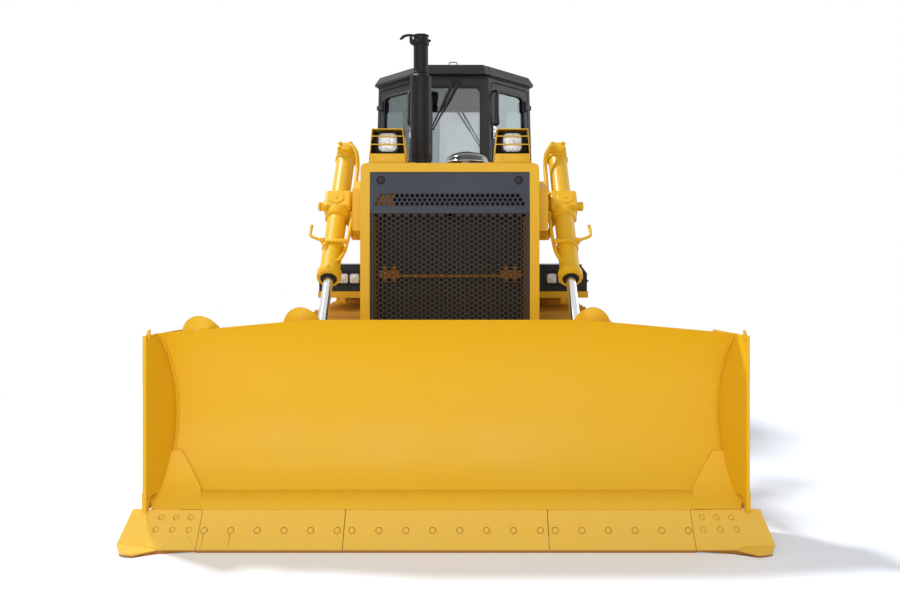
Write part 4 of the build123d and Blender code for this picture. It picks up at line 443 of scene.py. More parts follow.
# Bolted covers along the track frames: roller guard, recoil spring housing, idler slide.
ROLLER_PITCH = (WHEELBASE - 0.98) / 5
FRAME_FACE = 0.142                   # the frame's outer face, from the track's middle
for name, side in SIDES:
    shape = bmesh.new()
    outer = side * (TRACK_X + FRAME_FACE)
    for station in range(6):
        y = (IDLER_Y + SPROCKET_Y) / 2 + (station - 2.5) * ROLLER_PITCH - 0.01
        for z in (0.232, 0.268):
            for shift in (-0.045, 0.045):
                bolt(shape, Vector((outer, y + shift, z)), X * side, 0.02)
        turned(shape, Vector((outer, y, 0.21)), X * side, [(0, 0.03), (0.01, 0.03), (0.014, 0.024),
                                                          (0.014, 0)], 20)
    block(shape, Vector((outer + side * 0.004, IDLER_Y + 0.98, AXLE_Z + 0.02)),
          (0.008, 0.62, 0.15), 0.003, X, Z)
    for shift in (-0.27, -0.09, 0.09, 0.27):
        for rise in (-0.055, 0.055):
            bolt(shape, Vector((outer + side * 0.008, IDLER_Y + 0.98 + shift,
                                AXLE_Z + 0.02 + rise)), X * side, 0.02)
    block(shape, Vector((outer + side * 0.006, IDLER_Y + 0.02, AXLE_Z)), (0.012, 0.2, 0.12),
          0.004, X, Z)
    for shift in (-0.07, 0.07):
        for rise in (-0.04, 0.04):
            bolt(shape, Vector((outer + side * 0.012, IDLER_Y + 0.02 + shift, AXLE_Z + rise)),
                 X * side, 0.02)
    made(f"track_frame_covers_{name}", shape, frame_enamel)

# ------------------------------------------------------------------------------ engine and cooler
# Cast iron block under the hood, seen only through gaps: painted, oily, matt. The cooler is a
# copper fin-and-tube core behind a fan shroud, blackened.
cast_iron = enamel("cast_iron_paint", "#6E5527", "#3C342A", 0.6, 0.6, 0)
dress(cast_iron, "engine")
core_black, tree, out = new_material("radiator_core_black")
fins = node(tree, "TexWave", {"Vector": node(tree, "TexCoord").outputs["Object"], "Scale": 40.0},
            wave_type="BANDS", bands_direction="X").outputs["Fac"]
body = mixed(tree, fins, linear("#0E0C0A"), linear("#2C241B"))
coat(tree, out, {"Base Color": body, "Roughness": 0.75})
dress(core_black, "radiator_core")

# ----------------------------------------------------------------------- push arms, struts, blade
# Box-section arms and rolled blade plate, seam welded, primed and enamelled. The cutting edge
# is boron steel held by plough bolts, whose square necks sit in countersinks.
# parts in this enamel are tinted brown in their lowest 16 mm
wear_enamel = enamel("wear_plate_enamel", "#EEC24C", "#E2BA66", 0.45, 0.3, 0.05, bottom_band="#A06A2E")
dress(yellow_enamel, "push_arm_left", "push_arm_right", "brace", "tilt_barrel", "blade",
      "lift_barrel_left", "lift_barrel_right")
dress(wear_enamel, "cutting_edges", "end_bits")
# a lighter yellow than the blade's: painted light that offsets the shade on the moldboard's steep
# foot strip
lightened_foot_enamel = enamel("moldboard_foot_lightened_enamel", "#EABA2E", "#E0B457", 0.45, 0.2, 0.05)
ground_steel, tree, out = new_material("ground_steel")
coat(tree, out, {
    "Base Color": mixed(tree, noise(tree, 0.05, 5), linear("#7A756E"), linear("#544B42")),
    "Metallic": 1.0, "Roughness": spread(tree, noise(tree, 0.02, 4), 0.3, 0.7, 0.32, 0.5)})
dress(ground_steel, "trunnion_balls")
rust, tree, out = new_material("rust_stain")
patch = spread(tree, noise(tree, 0.012, 5, 0.7), 0.35, 0.65)
coat(tree, out, {"Base Color": mixed(tree, patch, linear("#8A4B17"), linear("#B9741F")),
                 "Roughness": 0.8})
rust_stain, tree, out = new_material("rust_run")
coat(tree, out, {"Base Color": linear("#D08A1C"), "Roughness": 0.6})

EDGE_TURN = math.radians(53.3)
EDGE_UP = Vector((0, math.cos(EDGE_TURN), math.sin(EDGE_TURN)))
EDGE_OUT = Vector((0, -math.sin(EDGE_TURN), math.cos(EDGE_TURN)))
EDGE_END = 1.427
blade_half = high("blade").x
moldboard_half = blade_half - 0.028


def on_edge(x, along):
    """A point on the cutting edge's face, along metres up it from the lip."""
    return Vector((x, LIP, 0)) + EDGE_UP * along


def plough_bolt(shape, rim, seat, out, radius=0.0165):
    """Adds a flush bolt's head, and the dark joint round it."""
    turned(shape, seat, out, [(0, radius), (0.0018, radius * 0.97), (0.003, radius * 0.5),
                              (0.003, 0)], 20)
    turned(rim, seat, out, [(0.0002, radius * 1.22), (0.0006, radius * 1.2),
                            (0.0006, radius * 0.98), (0.0, radius * 0.96)], 20)


def blade_curve(z, proud=0.0):
    """The moldboard's working face at a height: the point, and its outward normal."""
    foot = on_edge(0, 0.304) - EDGE_OUT * 0.025
    belly, lip = at(0, 0.405, 0.680), at(0, 0.095, 1.315)
    a, b, c = [(p.y, p.z) for p in (foot, belly, lip)]
    d = 2 * (a[0] * (b[1] - c[1]) + b[0] * (c[1] - a[1]) + c[0] * (a[1] - b[1]))
    squares = [p[0] ** 2 + p[1] ** 2 for p in (a, b, c)]
    cy = (squares[0] * (b[1] - c[1]) + squares[1] * (c[1] - a[1]) + squares[2] * (a[1] - b[1])) / d
    cz = (squares[0] * (c[0] - b[0]) + squares[1] * (a[0] - c[0]) + squares[2] * (b[0] - a[0])) / d
    radius = math.hypot(a[0] - cy, a[1] - cz)
    y = cy + math.sqrt(max(radius ** 2 - (z - cz) ** 2, 0))
    out = Vector((0, cy - y, cz - z)).normalized()
    return Vector((0, y, z)) + out * proud, out


EDGE_SEEN = 0.250            # of the cutting edge, up to the moldboard's foot
BOLT_ALONG = 0.128
SEGMENT_PITCH = 1.0129       # between the middles of the edge's three segments
heads, rims, streaks = bmesh.new(), bmesh.new(), bmesh.new()
for segment, count, pitch in ((-1, 6, 0.1537), (0, 8, 0.1554), (1, 6, 0.1537)):
    for number in range(count):
        x = segment * SEGMENT_PITCH + (number - (count - 1) / 2) * pitch
        plough_bolt(heads, rims, on_edge(x, BOLT_ALONG), EDGE_OUT)
        if segment == -1 and number < 2:
            slab(streaks, [(-0.003, -0.018), (0.003, -0.018), (0.002, -0.07), (-0.006, -0.105),
                           (-0.008, -0.105), (-0.002, -0.07)], 0.0004,
                 on_edge(x, BOLT_ALONG) + EDGE_OUT * 0.0003, X, EDGE_UP)
made("edge_bolts", heads, wear_enamel, "blade", "wear_steel")
made("edge_bolt_joints", rims, rust, "blade", "wear_steel")
made("edge_rust_streaks", streaks, rust_stain, "blade", "wear_steel", smooth=0)

# End bits: cast with a swept wing and a heavy toe, and their bolts sunk in countersinks.
# Each corner is (outwards, behind the lip, height).
BIT_ROOT, BIT_THICK = EDGE_END + 0.0005, 0.026
lean = 1 / math.tan(EDGE_TURN)
crest = EDGE_SEEN * math.sin(EDGE_TURN)
BIT_FACE = {
    "seam low": (BIT_ROOT, 0.006 * lean, 0.006), "seam high": (BIT_ROOT, crest * lean, crest),
    "crease": (1.757, crest * lean, crest), "toe root": (1.640, 0.010 * lean, 0.010),
    "heel": (1.690, 0.0108, 0.0312), "fold": (1.746, 0.0062, 0.0384),
    "toe": (1.758, -0.0820, 0.0250), "toe side": (1.806, -0.0805, 0.0290),
    "corner": (1.835, -0.0610, 0.0400), "tip": (1.8607, -0.0305, 0.0556),
    "shoulder": (1.832, 0.1300, 0.2020), "top": (1.822, 0.1400, 0.2080),
    "crown": (1.796, 0.1440, 0.2075)}
BIT_FACETS = (("seam low", "toe root", "crease", "seam high"),
              ("toe root", "heel", "fold", "crease"),
              ("toe root", "toe", "fold", "heel"), ("toe", "toe side", "fold"),
              ("toe side", "corner", "fold"), ("corner", "tip", "fold"),
              ("tip", "shoulder", "crease", "fold"), ("shoulder", "top", "crown", "crease"))
BIT_RIM = ("seam low", "toe root", "toe", "toe side", "corner", "tip", "shoulder", "top", "crown",
           "crease", "seam high")
TOE_FOOT = {"toe root": (1.630, -0.022), "toe": (1.752, -0.0780), "toe side": (1.797, -0.0660),
            "corner": (1.838, -0.0480)}
countersunk = [(1.4883 + 0.0856 * number, 0.206) for number in range(3)]
countersunk += [(1.486 + 0.096 * number, 0.134) for number in range(3)]
shape, sunk = bmesh.new(), bmesh.new()
for side in (-1, 1):
    front = {name: shape.verts.new((side * u, LIP + back, z)) for name, (u, back, z) in
             BIT_FACE.items()}
    rear = {}
    for name in BIT_RIM:
        behind = front[name].co - EDGE_OUT * BIT_THICK
        rear[name] = shape.verts.new((behind.x, behind.y, max(behind.z, 0.0006)))
    for facet in BIT_FACETS[1:]:     # the first one is pierced, below
        shape.faces.new([front[name] for name in facet])
    foot = {name: shape.verts.new((side * u, LIP + back, 0.0006)) for name, (u, back) in
            TOE_FOOT.items()}
    for one, two in zip(BIT_RIM, BIT_RIM[1:] + BIT_RIM[:1]):
        lower = [foot.get(name) for name in (two, one)]
        if all(lower):
            shape.faces.new([front[one], front[two]] + lower)
            shape.faces.new([lower[1], lower[0], rear[two], rear[one]])
        elif any(lower):
            point = [vertex for vertex in lower if vertex][0]
            shape.faces.new([front[one], front[two], point])
            shape.faces.new([front[two] if lower[1] else front[one], point, rear[one], rear[two]])
        else:
            shape.faces.new([front[one], front[two], rear[two], rear[one]])
    shape.faces.new([rear[name] for name in BIT_RIM])
    # the flat face, pierced: the plate's four corners joined to the six round sinks
    face_loop = [front[name] for name in BIT_FACETS[0]]
    edges = [shape.edges.get((one, two)) or shape.edges.new((one, two))
             for one, two in zip(face_loop, face_loop[1:] + face_loop[:1])]
    for u, along in countersunk:
        seat = on_edge(side * u, along)
        ring, floor_ring = [
            [shape.verts.new(seat + X * a + EDGE_UP * b - EDGE_OUT * deep)
             for a, b in circle(24, radius)] for radius, deep in ((0.0185, 0), (0.0150, 0.010))]
        edges += [shape.edges.new(ends) for ends in zip(ring, ring[1:] + ring[:1])]
        loft(shape, [ring, floor_ring])
        shape.faces.new(floor_ring)
        turned(sunk, seat - EDGE_OUT * 0.0098, EDGE_OUT, [(0, 0.0145), (0.003, 0.0135),
                                                          (0.004, 0)], 24)
    bmesh.ops.triangle_fill(shape, use_beauty=True, edges=edges)
bmesh.ops.recalc_face_normals(shape, faces=shape.faces)
bits = made("end_bit_castings", shape, wear_enamel, "blade", "wear_steel", smooth=6)
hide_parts("end_bits")
made("end_bit_bolts", sunk, wear_enamel, "blade", "wear_steel")

# The moldboard's foot laps over the edge and over the end bits' roots.
FOOT_HALF = 1.56
shape = bmesh.new()
foot_low = [on_edge(0, EDGE_SEEN) + EDGE_OUT * proud for proud in (0.0004, 0.008)]
foot_high = [on_edge(0, 0.31), blade_curve(0.285, 0.004)[0]]
section = [foot_low[0], foot_low[1], on_edge(0, 0.30) + EDGE_OUT * 0.006, foot_high[1],
           foot_high[1] + Y * 0.01, foot_high[0] - EDGE_OUT * 0.012]
rings = [[shape.verts.new(point + X * x) for point in section] for x in (-FOOT_HALF, FOOT_HALF)]
loft(shape, rings)
shape.faces.new(rings[0])
shape.faces.new(rings[1][::-1])
# the foot wears the lightened yellow, painted light against its shade
made("moldboard_foot", shape, lightened_foot_enamel, "blade")
shape = bmesh.new()
for side in (-1, 1):
    # the end plates' feet, down to the bits, and the gussets inside them
    block(shape, Vector((side * 1.7525, LIP + 0.190, 0.255)), (0.026, 0.18, 0.108), 0.003)
    block(shape, Vector((side * 1.705, LIP + 0.275, 0.245)), (0.11, 0.03, 0.09), 0.003)
made("end_plate_feet", shape, yellow_enamel, "blade")

# Wear plates in the moldboard's lower corners: each row is (height, inner edge, outer edge).
PLATE_ROWS = ((0.2015, 1.437, 1.717), (0.250, 1.4515, 1.753), (0.290, 1.4635, 1.739),
              (0.340, 1.501, 1.7205), (0.390, 1.538, 1.703), (0.440, 1.5755, 1.694),
              (0.493, 1.615, 1.682))
shape = bmesh.new()
for side in (-1, 1):
    grids = []
    for proud in (-0.002, 0.014):
        grid = []
        for z, inner, outer in PLATE_ROWS:
            share = max(0.0, (0.290 - z) / (0.290 - PLATE_ROWS[0][0]))
            low_point = on_edge(0, EDGE_SEEN) + EDGE_OUT * (proud + 0.001)
            high_point, out = blade_curve(max(z, 0.290), proud)
            point = high_point.lerp(low_point, share)
            grid.append([shape.verts.new(point + X * side * (inner + (outer - inner) * across))
                         for across in (0.0, 0.5, 1.0)])
        grids.append(grid)
    under, over = grids
    for one, two, three, four in zip(over, over[1:], under, under[1:]):
        for index in range(2):
            shape.faces.new((one[index], one[index + 1], two[index + 1], two[index]))
            shape.faces.new((three[index], three[index + 1], four[index + 1], four[index]))
        for index in (0, 2):
            shape.faces.new((one[index], two[index], four[index], three[index]))
    for end in (0, -1):
        for index in range(2):
            shape.faces.new((under[end][index], under[end][index + 1], over[end][index + 1],
                             over[end][index]))
bmesh.ops.recalc_face_normals(shape, faces=shape.faces)
# the corner plates wear the same lightened yellow
made("corner_wear_plates", shape, lightened_foot_enamel, "blade", smooth=30)

shape = bmesh.new()
for side in (-1, 1):
    # pads on the ends, at push height, and a small ear at the top corner
    block(shape, Vector((side * (blade_half + 0.001), LIP + 0.3, 0.47)), (0.02, 0.34, 0.44), 0.006)
    slab(shape, [(0, 0), (0.03, 0.0), (0.012, 0.055), (0, 0.055)], 0.016,
         Vector((side * (moldboard_half - 0.005), LIP + 0.12, 1.2)), X * side, Z, 0.003)
made("blade_end_pads", shape, yellow_enamel, "blade")

# Weld beads: along the top of the cutting edge's bed and up the end plates.
beads = bmesh.new()
tube(beads, [on_edge(-moldboard_half + 0.1, 0.306) - EDGE_OUT * 0.022,
             on_edge(moldboard_half - 0.1, 0.306) - EDGE_OUT * 0.022], 0.005, sides=8)
for side in (-1, 1):
    path = []
    for step in range(12):
        z = 0.3 + 0.9 * step / 11
        point, out = blade_curve(z, 0.002)
        inner = moldboard_half - 0.092 + 0.092 * (LIP + 0.47 - point.y) / 0.37
        path.append(point + X * side * (inner - 0.004))
    tube(beads, path, 0.006, sides=8)
made("blade_weld_beads", beads, yellow_enamel, "blade")

# Cylinders: honed tube in a trunnion block, hard-chromed rod through a screwed gland, steel
# pipes clamped along the tube. The rod is ground and polished, and wears a film of oil.
chrome, tree, out = new_material("hard_chrome")
coat(tree, out, {"Base Color": linear("#D6D8DB"), "Metallic": 1.0,
                 "Roughness": spread(tree, noise(tree, 0.004, 2), 0.3, 0.7, 0.14, 0.24)})
dress(chrome, "lift_rod_left", "lift_rod_right", "tilt_rod")

PIVOT = at(0.860, 1.770, 2.036)      # middle of the left yoke
DOWN_BARREL = (at(0.860, 0.565, 0.800) - PIVOT).normalized()
FRONT_OF_BARREL = Vector((0, DOWN_BARREL.z, -DOWN_BARREL.y))
for name, side in SIDES:
    pivot = Vector((side * PIVOT.x, PIVOT.y, PIVOT.z))
    across = X * side

    def on_barrel(along, out=0.0, over=0.0):
        """A point by the barrel: down it, outwards across the machine, and over its front."""
        return pivot + DOWN_BARREL * along + across * out + FRONT_OF_BARREL * over

    shape = bmesh.new()
    # gland's ring, its seal lip and the lug that locks it
    turned(shape, on_barrel(0.683), DOWN_BARREL, [(0, 0.073), (0.004, 0.0875), (0.05, 0.0875),
           (0.058, 0.083), (0.06, 0.046), (0.066, 0.042), (0.066, 0.0365)], 40)
    block(shape, on_barrel(0.712, 0.0, -0.092), (0.036, 0.034, 0.05), 0.006, across, DOWN_BARREL)
    bolt(shape, on_barrel(0.70, 0.0, 0.0875), FRONT_OF_BARREL, 0.018, washer=False)
    # yoke block: round pin cover outside, the parting seam's bolts and rounded cap behind
    turned(shape, on_barrel(0, 0.1385), across, [(0, 0.036), (0.012, 0.036), (0.018, 0.03),
                                                (0.018, 0)], 24)
    turned(shape, on_barrel(0.0, 0.012, 0.088), FRONT_OF_BARREL, [(0, 0.062), (0.006, 0.062),
           (0.011, 0.055), (0.011, 0.012), (0.016, 0.010), (0.016, 0)], 32)
    for face in (-1, 1):
        block(shape, on_barrel(0.0835, face * 0.0855, 0.0), (0.025, 0.176, 0.014), 0.004, across,
              DOWN_BARREL)
        block(shape, on_barrel(0.0835, 0.0, face * 0.0805), (0.170, 0.015, 0.014), 0.004, across,
              DOWN_BARREL)
    turned(shape, on_barrel(0.078), DOWN_BARREL, [(0, 0.098), (0.03, 0.096), (0.06, 0.0865),
                                                  (0.066, 0.0735)], 36)
    for out in (-0.082, 0.082):
        for over in (-0.06, 0.06):
            bolt(shape, on_barrel(0.09, out, over), DOWN_BARREL, 0.024)
    # the ear on the block's inner corner, where the pipes' bracket is bolted
    slab(shape, [(-0.13, -0.04), (-0.055, -0.05), (-0.05, 0.02), (-0.1, 0.035), (-0.14, 0.01)],
         0.012, on_barrel(-0.062, 0, 0.06), across, FRONT_OF_BARREL, 0.003)
    # port block with four bolts on the tube's closed end, and the tail's cap ring
    block(shape, on_barrel(-0.592, 0.0, 0.088), (0.118, 0.05, 0.09), 0.006, across, DOWN_BARREL)
    for out in (-0.042, 0.042):
        for along in (-0.622, -0.562):
            bolt(shape, on_barrel(along, out, 0.113), FRONT_OF_BARREL, 0.02)
    turned(shape, on_barrel(-0.628), -DOWN_BARREL, [(0, 0.079), (0.004, 0.079), (0.012, 0.07),
                                                   (0.0125, 0.02)], 36)
    turned(shape, on_barrel(-0.548), DOWN_BARREL, [(0, 0.0735), (0, 0.084), (0.012, 0.084),
                                                  (0.018, 0.0735)], 36)
    # pipe clamp half-way down, with its pad
    turned(shape, on_barrel(0.43), DOWN_BARREL, [(0, 0.0735), (0, 0.0805), (0.03, 0.0805),
                                                 (0.03, 0.0735)], 36)
    block(shape, on_barrel(0.445, -0.03, 0.074), (0.15, 0.03, 0.03), 0.007, across, DOWN_BARREL)
    turned(shape, on_barrel(0.445, 0.055, 0.088), across, [(0, 0.017), (0.026, 0.017),
                                                           (0.03, 0.012), (0.03, 0)], 16)
    made(f"lift_barrel_fittings_{name}", shape, yellow_enamel, f"lift_barrel_{name}",
         "cylinder_paint")

    pipes = bmesh.new()
    # long pipe from the port block down the inner side, and the short one to the gland
    tube(pipes, trail(on_barrel, (-0.592, -0.03, 0.11), (-0.575, -0.06, 0.135),
                      (-0.5, -0.105, 0.115), (-0.40, -0.115, 0.06), (-0.15, -0.115, 0.045),
                      (-0.11, -0.13, 0.03)), 0.0165, 0.05)
    tube(pipes, trail(on_barrel, (0.12, -0.115, 0.03), (0.34, -0.108, 0.028), (0.5, -0.095, 0.03),
                      (0.60, -0.07, 0.045), (0.64, -0.04, 0.062)), 0.0135, 0.04)
    tube(pipes, trail(on_barrel, (0.12, -0.085, -0.06), (0.26, -0.122, -0.075),
                      (0.30, -0.14, -0.05), (0.20, -0.15, -0.03), (0.08, -0.15, -0.03)),
         0.016, 0.06)
    for along, out, over in ((0.12, -0.115, 0.03), (0.12, -0.085, -0.06), (-0.13, -0.12, 0.04)):
        turned(pipes, on_barrel(along, out, over), DOWN_BARREL, [(-0.02, 0), (-0.02, 0.023),
               (0.02, 0.023), (0.02, 0)], 6)
    # the bent rod on the outer side that hooks the hoses back
    tube(pipes, trail(on_barrel, (0.41, 0.07, -0.01), (0.36, 0.1, 0.0), (0.335, 0.155, 0.0),
                      (0.315, 0.185, 0.0), (0.24, 0.185, 0.0), (0.215, 0.18, 0.01)), 0.0115, 0.02)
    made(f"lift_barrel_pipes_{name}", pipes, yellow_enamel, f"lift_barrel_{name}",
         "cylinder_paint")

    # rod's eye: cast clevis, and a wiper of black rubber in the gland
    rubber = bmesh.new()
    turned(rubber, on_barrel(0.7445), DOWN_BARREL, [(0, 0.06), (0.006, 0.058), (0.01, 0.045),
                                                    (0.01, 0.0365)], 36)
    made(f"rod_wiper_{name}", rubber, black_enamel, f"lift_barrel_{name}", "black_paint")
    shape = bmesh.new()
    eye = Vector((side * PIVOT.x, LIP + 0.565, 0.8))
    turned(shape, eye - DOWN_BARREL * 0.135, DOWN_BARREL, [(0, 0.0355), (0, 0.046), (0.05, 0.052),
                                                          (0.09, 0.052)], 28)
    for face in (-1, 1):
        turned(shape, eye + X * face * 0.0425, X * face, [(0, 0.056), (0.004, 0.054),
                                                          (0.004, 0.036), (0.0, 0.034)], 32)
    made(f"lift_rod_eye_{name}", shape, yellow_enamel, f"lift_rod_{name}", "cylinder_paint")

# Push arms: bolted trunnion caps, and weld beads along the arms' outer sides.
for name, side in SIDES:
    shape = bmesh.new()
    outer = side * max(abs(low(f"push_arm_{name}").x), abs(high(f"push_arm_{name}").x))
    cap = Vector((outer, LIP + 2.950, 0.45))
    turned(shape, cap, X * side, [(-0.004, 0.1), (0.006, 0.1), (0.01, 0.092), (0.01, 0)], 32)
    bolt_circle(shape, cap + X * side * 0.009, X * side, 6, 0.078, 0.02)
    made(f"trunnion_cap_{name}", shape, yellow_enamel, f"arm_{name}")
    beads = bmesh.new()
    for rise in (-0.119, 0.119):
        tube(beads, [Vector((outer - side * 0.003, LIP + 0.9, 0.45 + rise)),
                     Vector((outer - side * 0.003, LIP + 2.7, 0.45 + rise))], 0.005, sides=6)
    made(f"arm_weld_beads_{name}", beads, yellow_enamel, f"arm_{name}")

# ------------------------------------------------------------ radiator guard, hood, side doors
# Guard of welded plate; its grille is punched sheet, slate above and browned below, bolted in
# from behind. Hood and doors are pressed sheet, the doors hinged at the rear.
slate_enamel = enamel("slate_enamel", "#363A46", "#464B57", 0.48, 0.2, 0.05)
grille_enamel = enamel("grille_enamel", "#37312C", "#4A3F32", 0.55, 0.35, 0)
# darkened yellow: painted shade for the yellow parts that stand in shadow behind the grille
shaded_yellow_enamel = enamel("shaded_yellow_enamel", "#A9690F", "#7A5520", 0.6, 0.4, 0)
dress(yellow_enamel, "radiator_guard", "hood", "side_doors", "lamp_boxes")

GUARD_BEND = 1.980
opening = 0.572
opening_bottom = 0.760
lean = math.atan2(0.026, 2.330 - GUARD_BEND)
UP_LEAN = Vector((0, math.sin(lean), math.cos(lean)))


def punched(shape, origin, up, wide, tall, columns, rows, radius, thick, stagger, corners=12,
            skip=None):
    """Adds a punched sheet from its middle: holes in columns, every other one set half lower."""
    cell_w, cell_h = wide / columns, tall / rows
    out = X.cross(up)
    known = {}

    def corner(a, b, depth):
        """Shared corner of the sheet, a across and b up."""
        key = (round(a, 5), round(b, 5), depth)
        if key not in known:
            known[key] = shape.verts.new(origin + X * a + up * b + out * depth)
        return known[key]

    for column in range(columns):
        lifted = stagger and column % 2
        left = -wide / 2 + column * cell_w
        if lifted:
            for b0, b1 in ((-tall / 2, -tall / 2 + cell_h / 2), (tall / 2 - cell_h / 2, tall / 2)):
                shape.faces.new([corner(a, b, 0) for a, b in ((left, b0), (left + cell_w, b0),
                                                             (left + cell_w, b1), (left, b1))])
        for row in range(rows - 1 if lifted else rows):
            bottom = -tall / 2 + (row + (0.5 if lifted else 0)) * cell_h
            ca, cb = left + cell_w / 2, bottom + cell_h / 2
            if skip and skip(ca, cb):
                shape.faces.new([corner(a, b, 0) for a, b in (
                    (left, bottom), (left + cell_w, bottom), (left + cell_w, bottom + cell_h),
                    (left, bottom + cell_h))])
                continue
            rim, outer, inner = [], [], []
            for step in range(corners):
                turn = math.tau * (step + 0.5) / corners
                c, s = math.cos(turn), math.sin(turn)
                reach = min(cell_w / 2 / max(abs(c), 1e-6), cell_h / 2 / max(abs(s), 1e-6))
                outer.append(corner(ca + c * reach, cb + s * reach, 0))
                rim.append(corner(ca + radius * c, cb + radius * s, 0))
                inner.append(corner(ca + radius * c, cb + radius * s, -thick))
            boxes = [corner(ca + a * cell_w / 2, cb + b * cell_h / 2, 0)
                     for a, b in ((1, 1), (-1, 1), (-1, -1), (1, -1))]
            for step in range(corners):
                after = (step + 1) % corners
                face = [rim[step], outer[step]]
                t0 = math.tau * (step + 0.5) / corners
                t1 = t0 + math.tau / corners
                for number in range(4):
                    diagonal = math.atan2((cell_h if number < 2 else -cell_h),
                                          (cell_w if number in (0, 3) else -cell_w)) % math.tau
                    if t0 < diagonal < t1:
                        face.append(boxes[number])
                face += [outer[after], rim[after]]
                shape.faces.new(list(dict.fromkeys(face)))
                shape.faces.new((rim[step], rim[after], inner[after], inner[step]))


face_back = 1.294                    # the sheet's face behind the lip
lower = bmesh.new()
low_tall = GUARD_BEND - 0.012 - opening_bottom
punched(lower, at(0, face_back, (opening_bottom + GUARD_BEND - 0.012) / 2), Z, 1.084, low_tall,
        35, 33, 0.0150, 0.006, True)
for side in (-1, 1):
    slab(lower, [(side * 0.542, -low_tall / 2), (side * opening, -low_tall / 2),
                 (side * opening, low_tall / 2), (side * 0.542, low_tall / 2)], 0.006,
         at(0, face_back, (opening_bottom + GUARD_BEND - 0.012) / 2), X, Z)
grille_low = made("grille_lower", lower, grille_enamel, slot="dark_panel")
upper = bmesh.new()
UPPER_PITCH, ROW_TALL = 0.0360, 0.0290   # three rows, each a hole shorter than the one below
upper_middle = at(0, face_back + 0.003, 2.066)
for row, count in ((-1, 30), (0, 29), (1, 28)):
    half = count * UPPER_PITCH / 2
    punched(upper, upper_middle + UP_LEAN * row * ROW_TALL, UP_LEAN, 2 * half, ROW_TALL, count, 1,
            0.0136, 0.005, False)
    for side in (-1, 1):
        slab(upper, [(side * half, -ROW_TALL / 2), (side * opening, -ROW_TALL / 2),
                     (side * opening, ROW_TALL / 2), (side * half, ROW_TALL / 2)], 0.005,
             upper_middle + UP_LEAN * row * ROW_TALL, X, UP_LEAN)
for bottom, top in ((1.5 * ROW_TALL, 0.200), (-0.0975, -1.5 * ROW_TALL)):
    slab(upper, [(-opening, bottom), (opening, bottom), (opening, top), (-opening, top)], 0.005,
         upper_middle, X, UP_LEAN)
made("grille_upper", upper, slate_enamel, slot="dark_panel")
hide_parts("grille")
plugs = bmesh.new()
for side in (-1, 1):
    turned(plugs, at(side * 0.494, face_back + 0.0165, 2.206), X.cross(UP_LEAN), [
        (0, 0.034), (0.007, 0.033), (0.012, 0.026), (0.014, 0.012), (0.014, 0)], 28)
made("grille_plugs", plugs, black_enamel, slot="black_paint")

# Behind the grille: the fan guard's cross-bar with its brackets, and the shroud's edge, in a
# darkened yellow that is painted shade, the yellow frame as it looks in shadow behind the grille.
shape = bmesh.new()
block(shape, at(0, 1.345, 1.52), (0.9, 0.02, 0.022), 0.003)
for side in (-1, 1):
    block(shape, at(side * 0.44, 1.34, 1.53), (0.15, 0.02, 0.06), 0.003)
    for x in (0.4, 0.47):
        for z in (1.49, 1.575):
            bolt(shape, at(side * x, 1.33, z), -Y, 0.018)
    block(shape, at(side * 0.545, 1.36, 1.37), (0.03, 0.03, 1.16), 0.004)
block(shape, at(-0.475, 1.335, 2.066), (0.14, 0.006, 0.1), 0.002)
made("fan_guard_bar", shape, shaded_yellow_enamel)

# Bolts round the guard and along the hood's edges, side-door hinges, latches and mesh.
shape = bmesh.new()
hood_back, hood_front = high("hood").y - LIP, low("hood").y - LIP
for side in (-1, 1):
    for back in (hood_front + 0.08, hood_front + 0.45, hood_front + 0.85, hood_back - 0.08):
        bolt(shape, at(side * 0.5455, back, 2.12), X * side, 0.02)
    for back in (hood_front + 0.06, hood_back - 0.06):
        bolt(shape, at(side * 0.42, back, 2.3), Z, 0.02)
    for z in (1.5, 1.85):
        turned(shape, at(side * 0.556, hood_back - 0.03, z - 0.06), Z, [(0, 0), (0, 0.014),
               (0.12, 0.014), (0.12, 0)], 14)
        block(shape, at(side * 0.549, hood_back - 0.06, z), (0.01, 0.06, 0.1), 0.003)
    # pressed rib round each door
    rib = [at(side * 0.546, back, z) for back, z in ((1.76, 1.395), (2.94, 1.43), (2.94, 1.985),
                                                     (1.76, 1.985))]
    tube(shape, rib, 0.007, sides=8, closed=True)
    for z in (1.9, 1.46):
        block(shape, at(side * 0.549, 1.79, z), (0.012, 0.09, 0.05), 0.004)
    # bolts that hold the guard to the hood and the yokes' brackets
    for z in (0.95, 1.35, 1.6):
        bolt(shape, at(side * 0.64, 1.62, z), X * side, 0.026)
    for back in (1.5, 1.64):
        bolt(shape, at(side * 0.6, back, 2.3295), Z, 0.022)
tube(shape, trail(at, (-0.536, 1.704, 2.0), (-0.536, 1.704, 2.214), (-0.478, 1.704, 2.3),
                  (0.478, 1.704, 2.3), (0.536, 1.704, 2.214), (0.536, 1.704, 2.0)), 0.006, 0.03, 8)
tube(shape, trail(at, (0.34, 2.55, 2.3), (0.34, 2.55, 2.345), (0.34, 2.75, 2.345),
                  (0.34, 2.75, 2.3)), 0.009, 0.02)
made("hood_fittings", shape, yellow_enamel)
latches = bmesh.new()
for side in (-1, 1):
    for z in (1.9, 1.46):
        turned(latches, at(side * 0.556, 1.79, z), X * side, [(0, 0.021), (0.004, 0.021),
               (0.008, 0.017), (0.008, 0)], 20)
        tube(latches, trail(at, (side * 0.566, 1.78, z + 0.008), (side * 0.572, 1.80, z - 0.03),
                            (side * 0.568, 1.81, z - 0.045)), 0.006, 0.01, 8)
made("door_latches", latches, black_enamel, slot="black_paint")
mesh_sheet = bmesh.new()
for side in (-1, 1):
    for number in range(48):
        back = 1.82 + number * 0.0235
        tube(mesh_sheet, trail(at, (side * 0.528, back, 1.43), (side * 0.528, back, 1.965)),
             0.0022, sides=5)
    for number in range(26):
        z = 1.44 + number * 0.0205
        tube(mesh_sheet, trail(at, (side * 0.5265, 1.81, z), (side * 0.5265, 2.955, z)),
             0.0022, sides=5)
made("side_door_mesh", mesh_sheet, black_enamel, slot="black_paint")
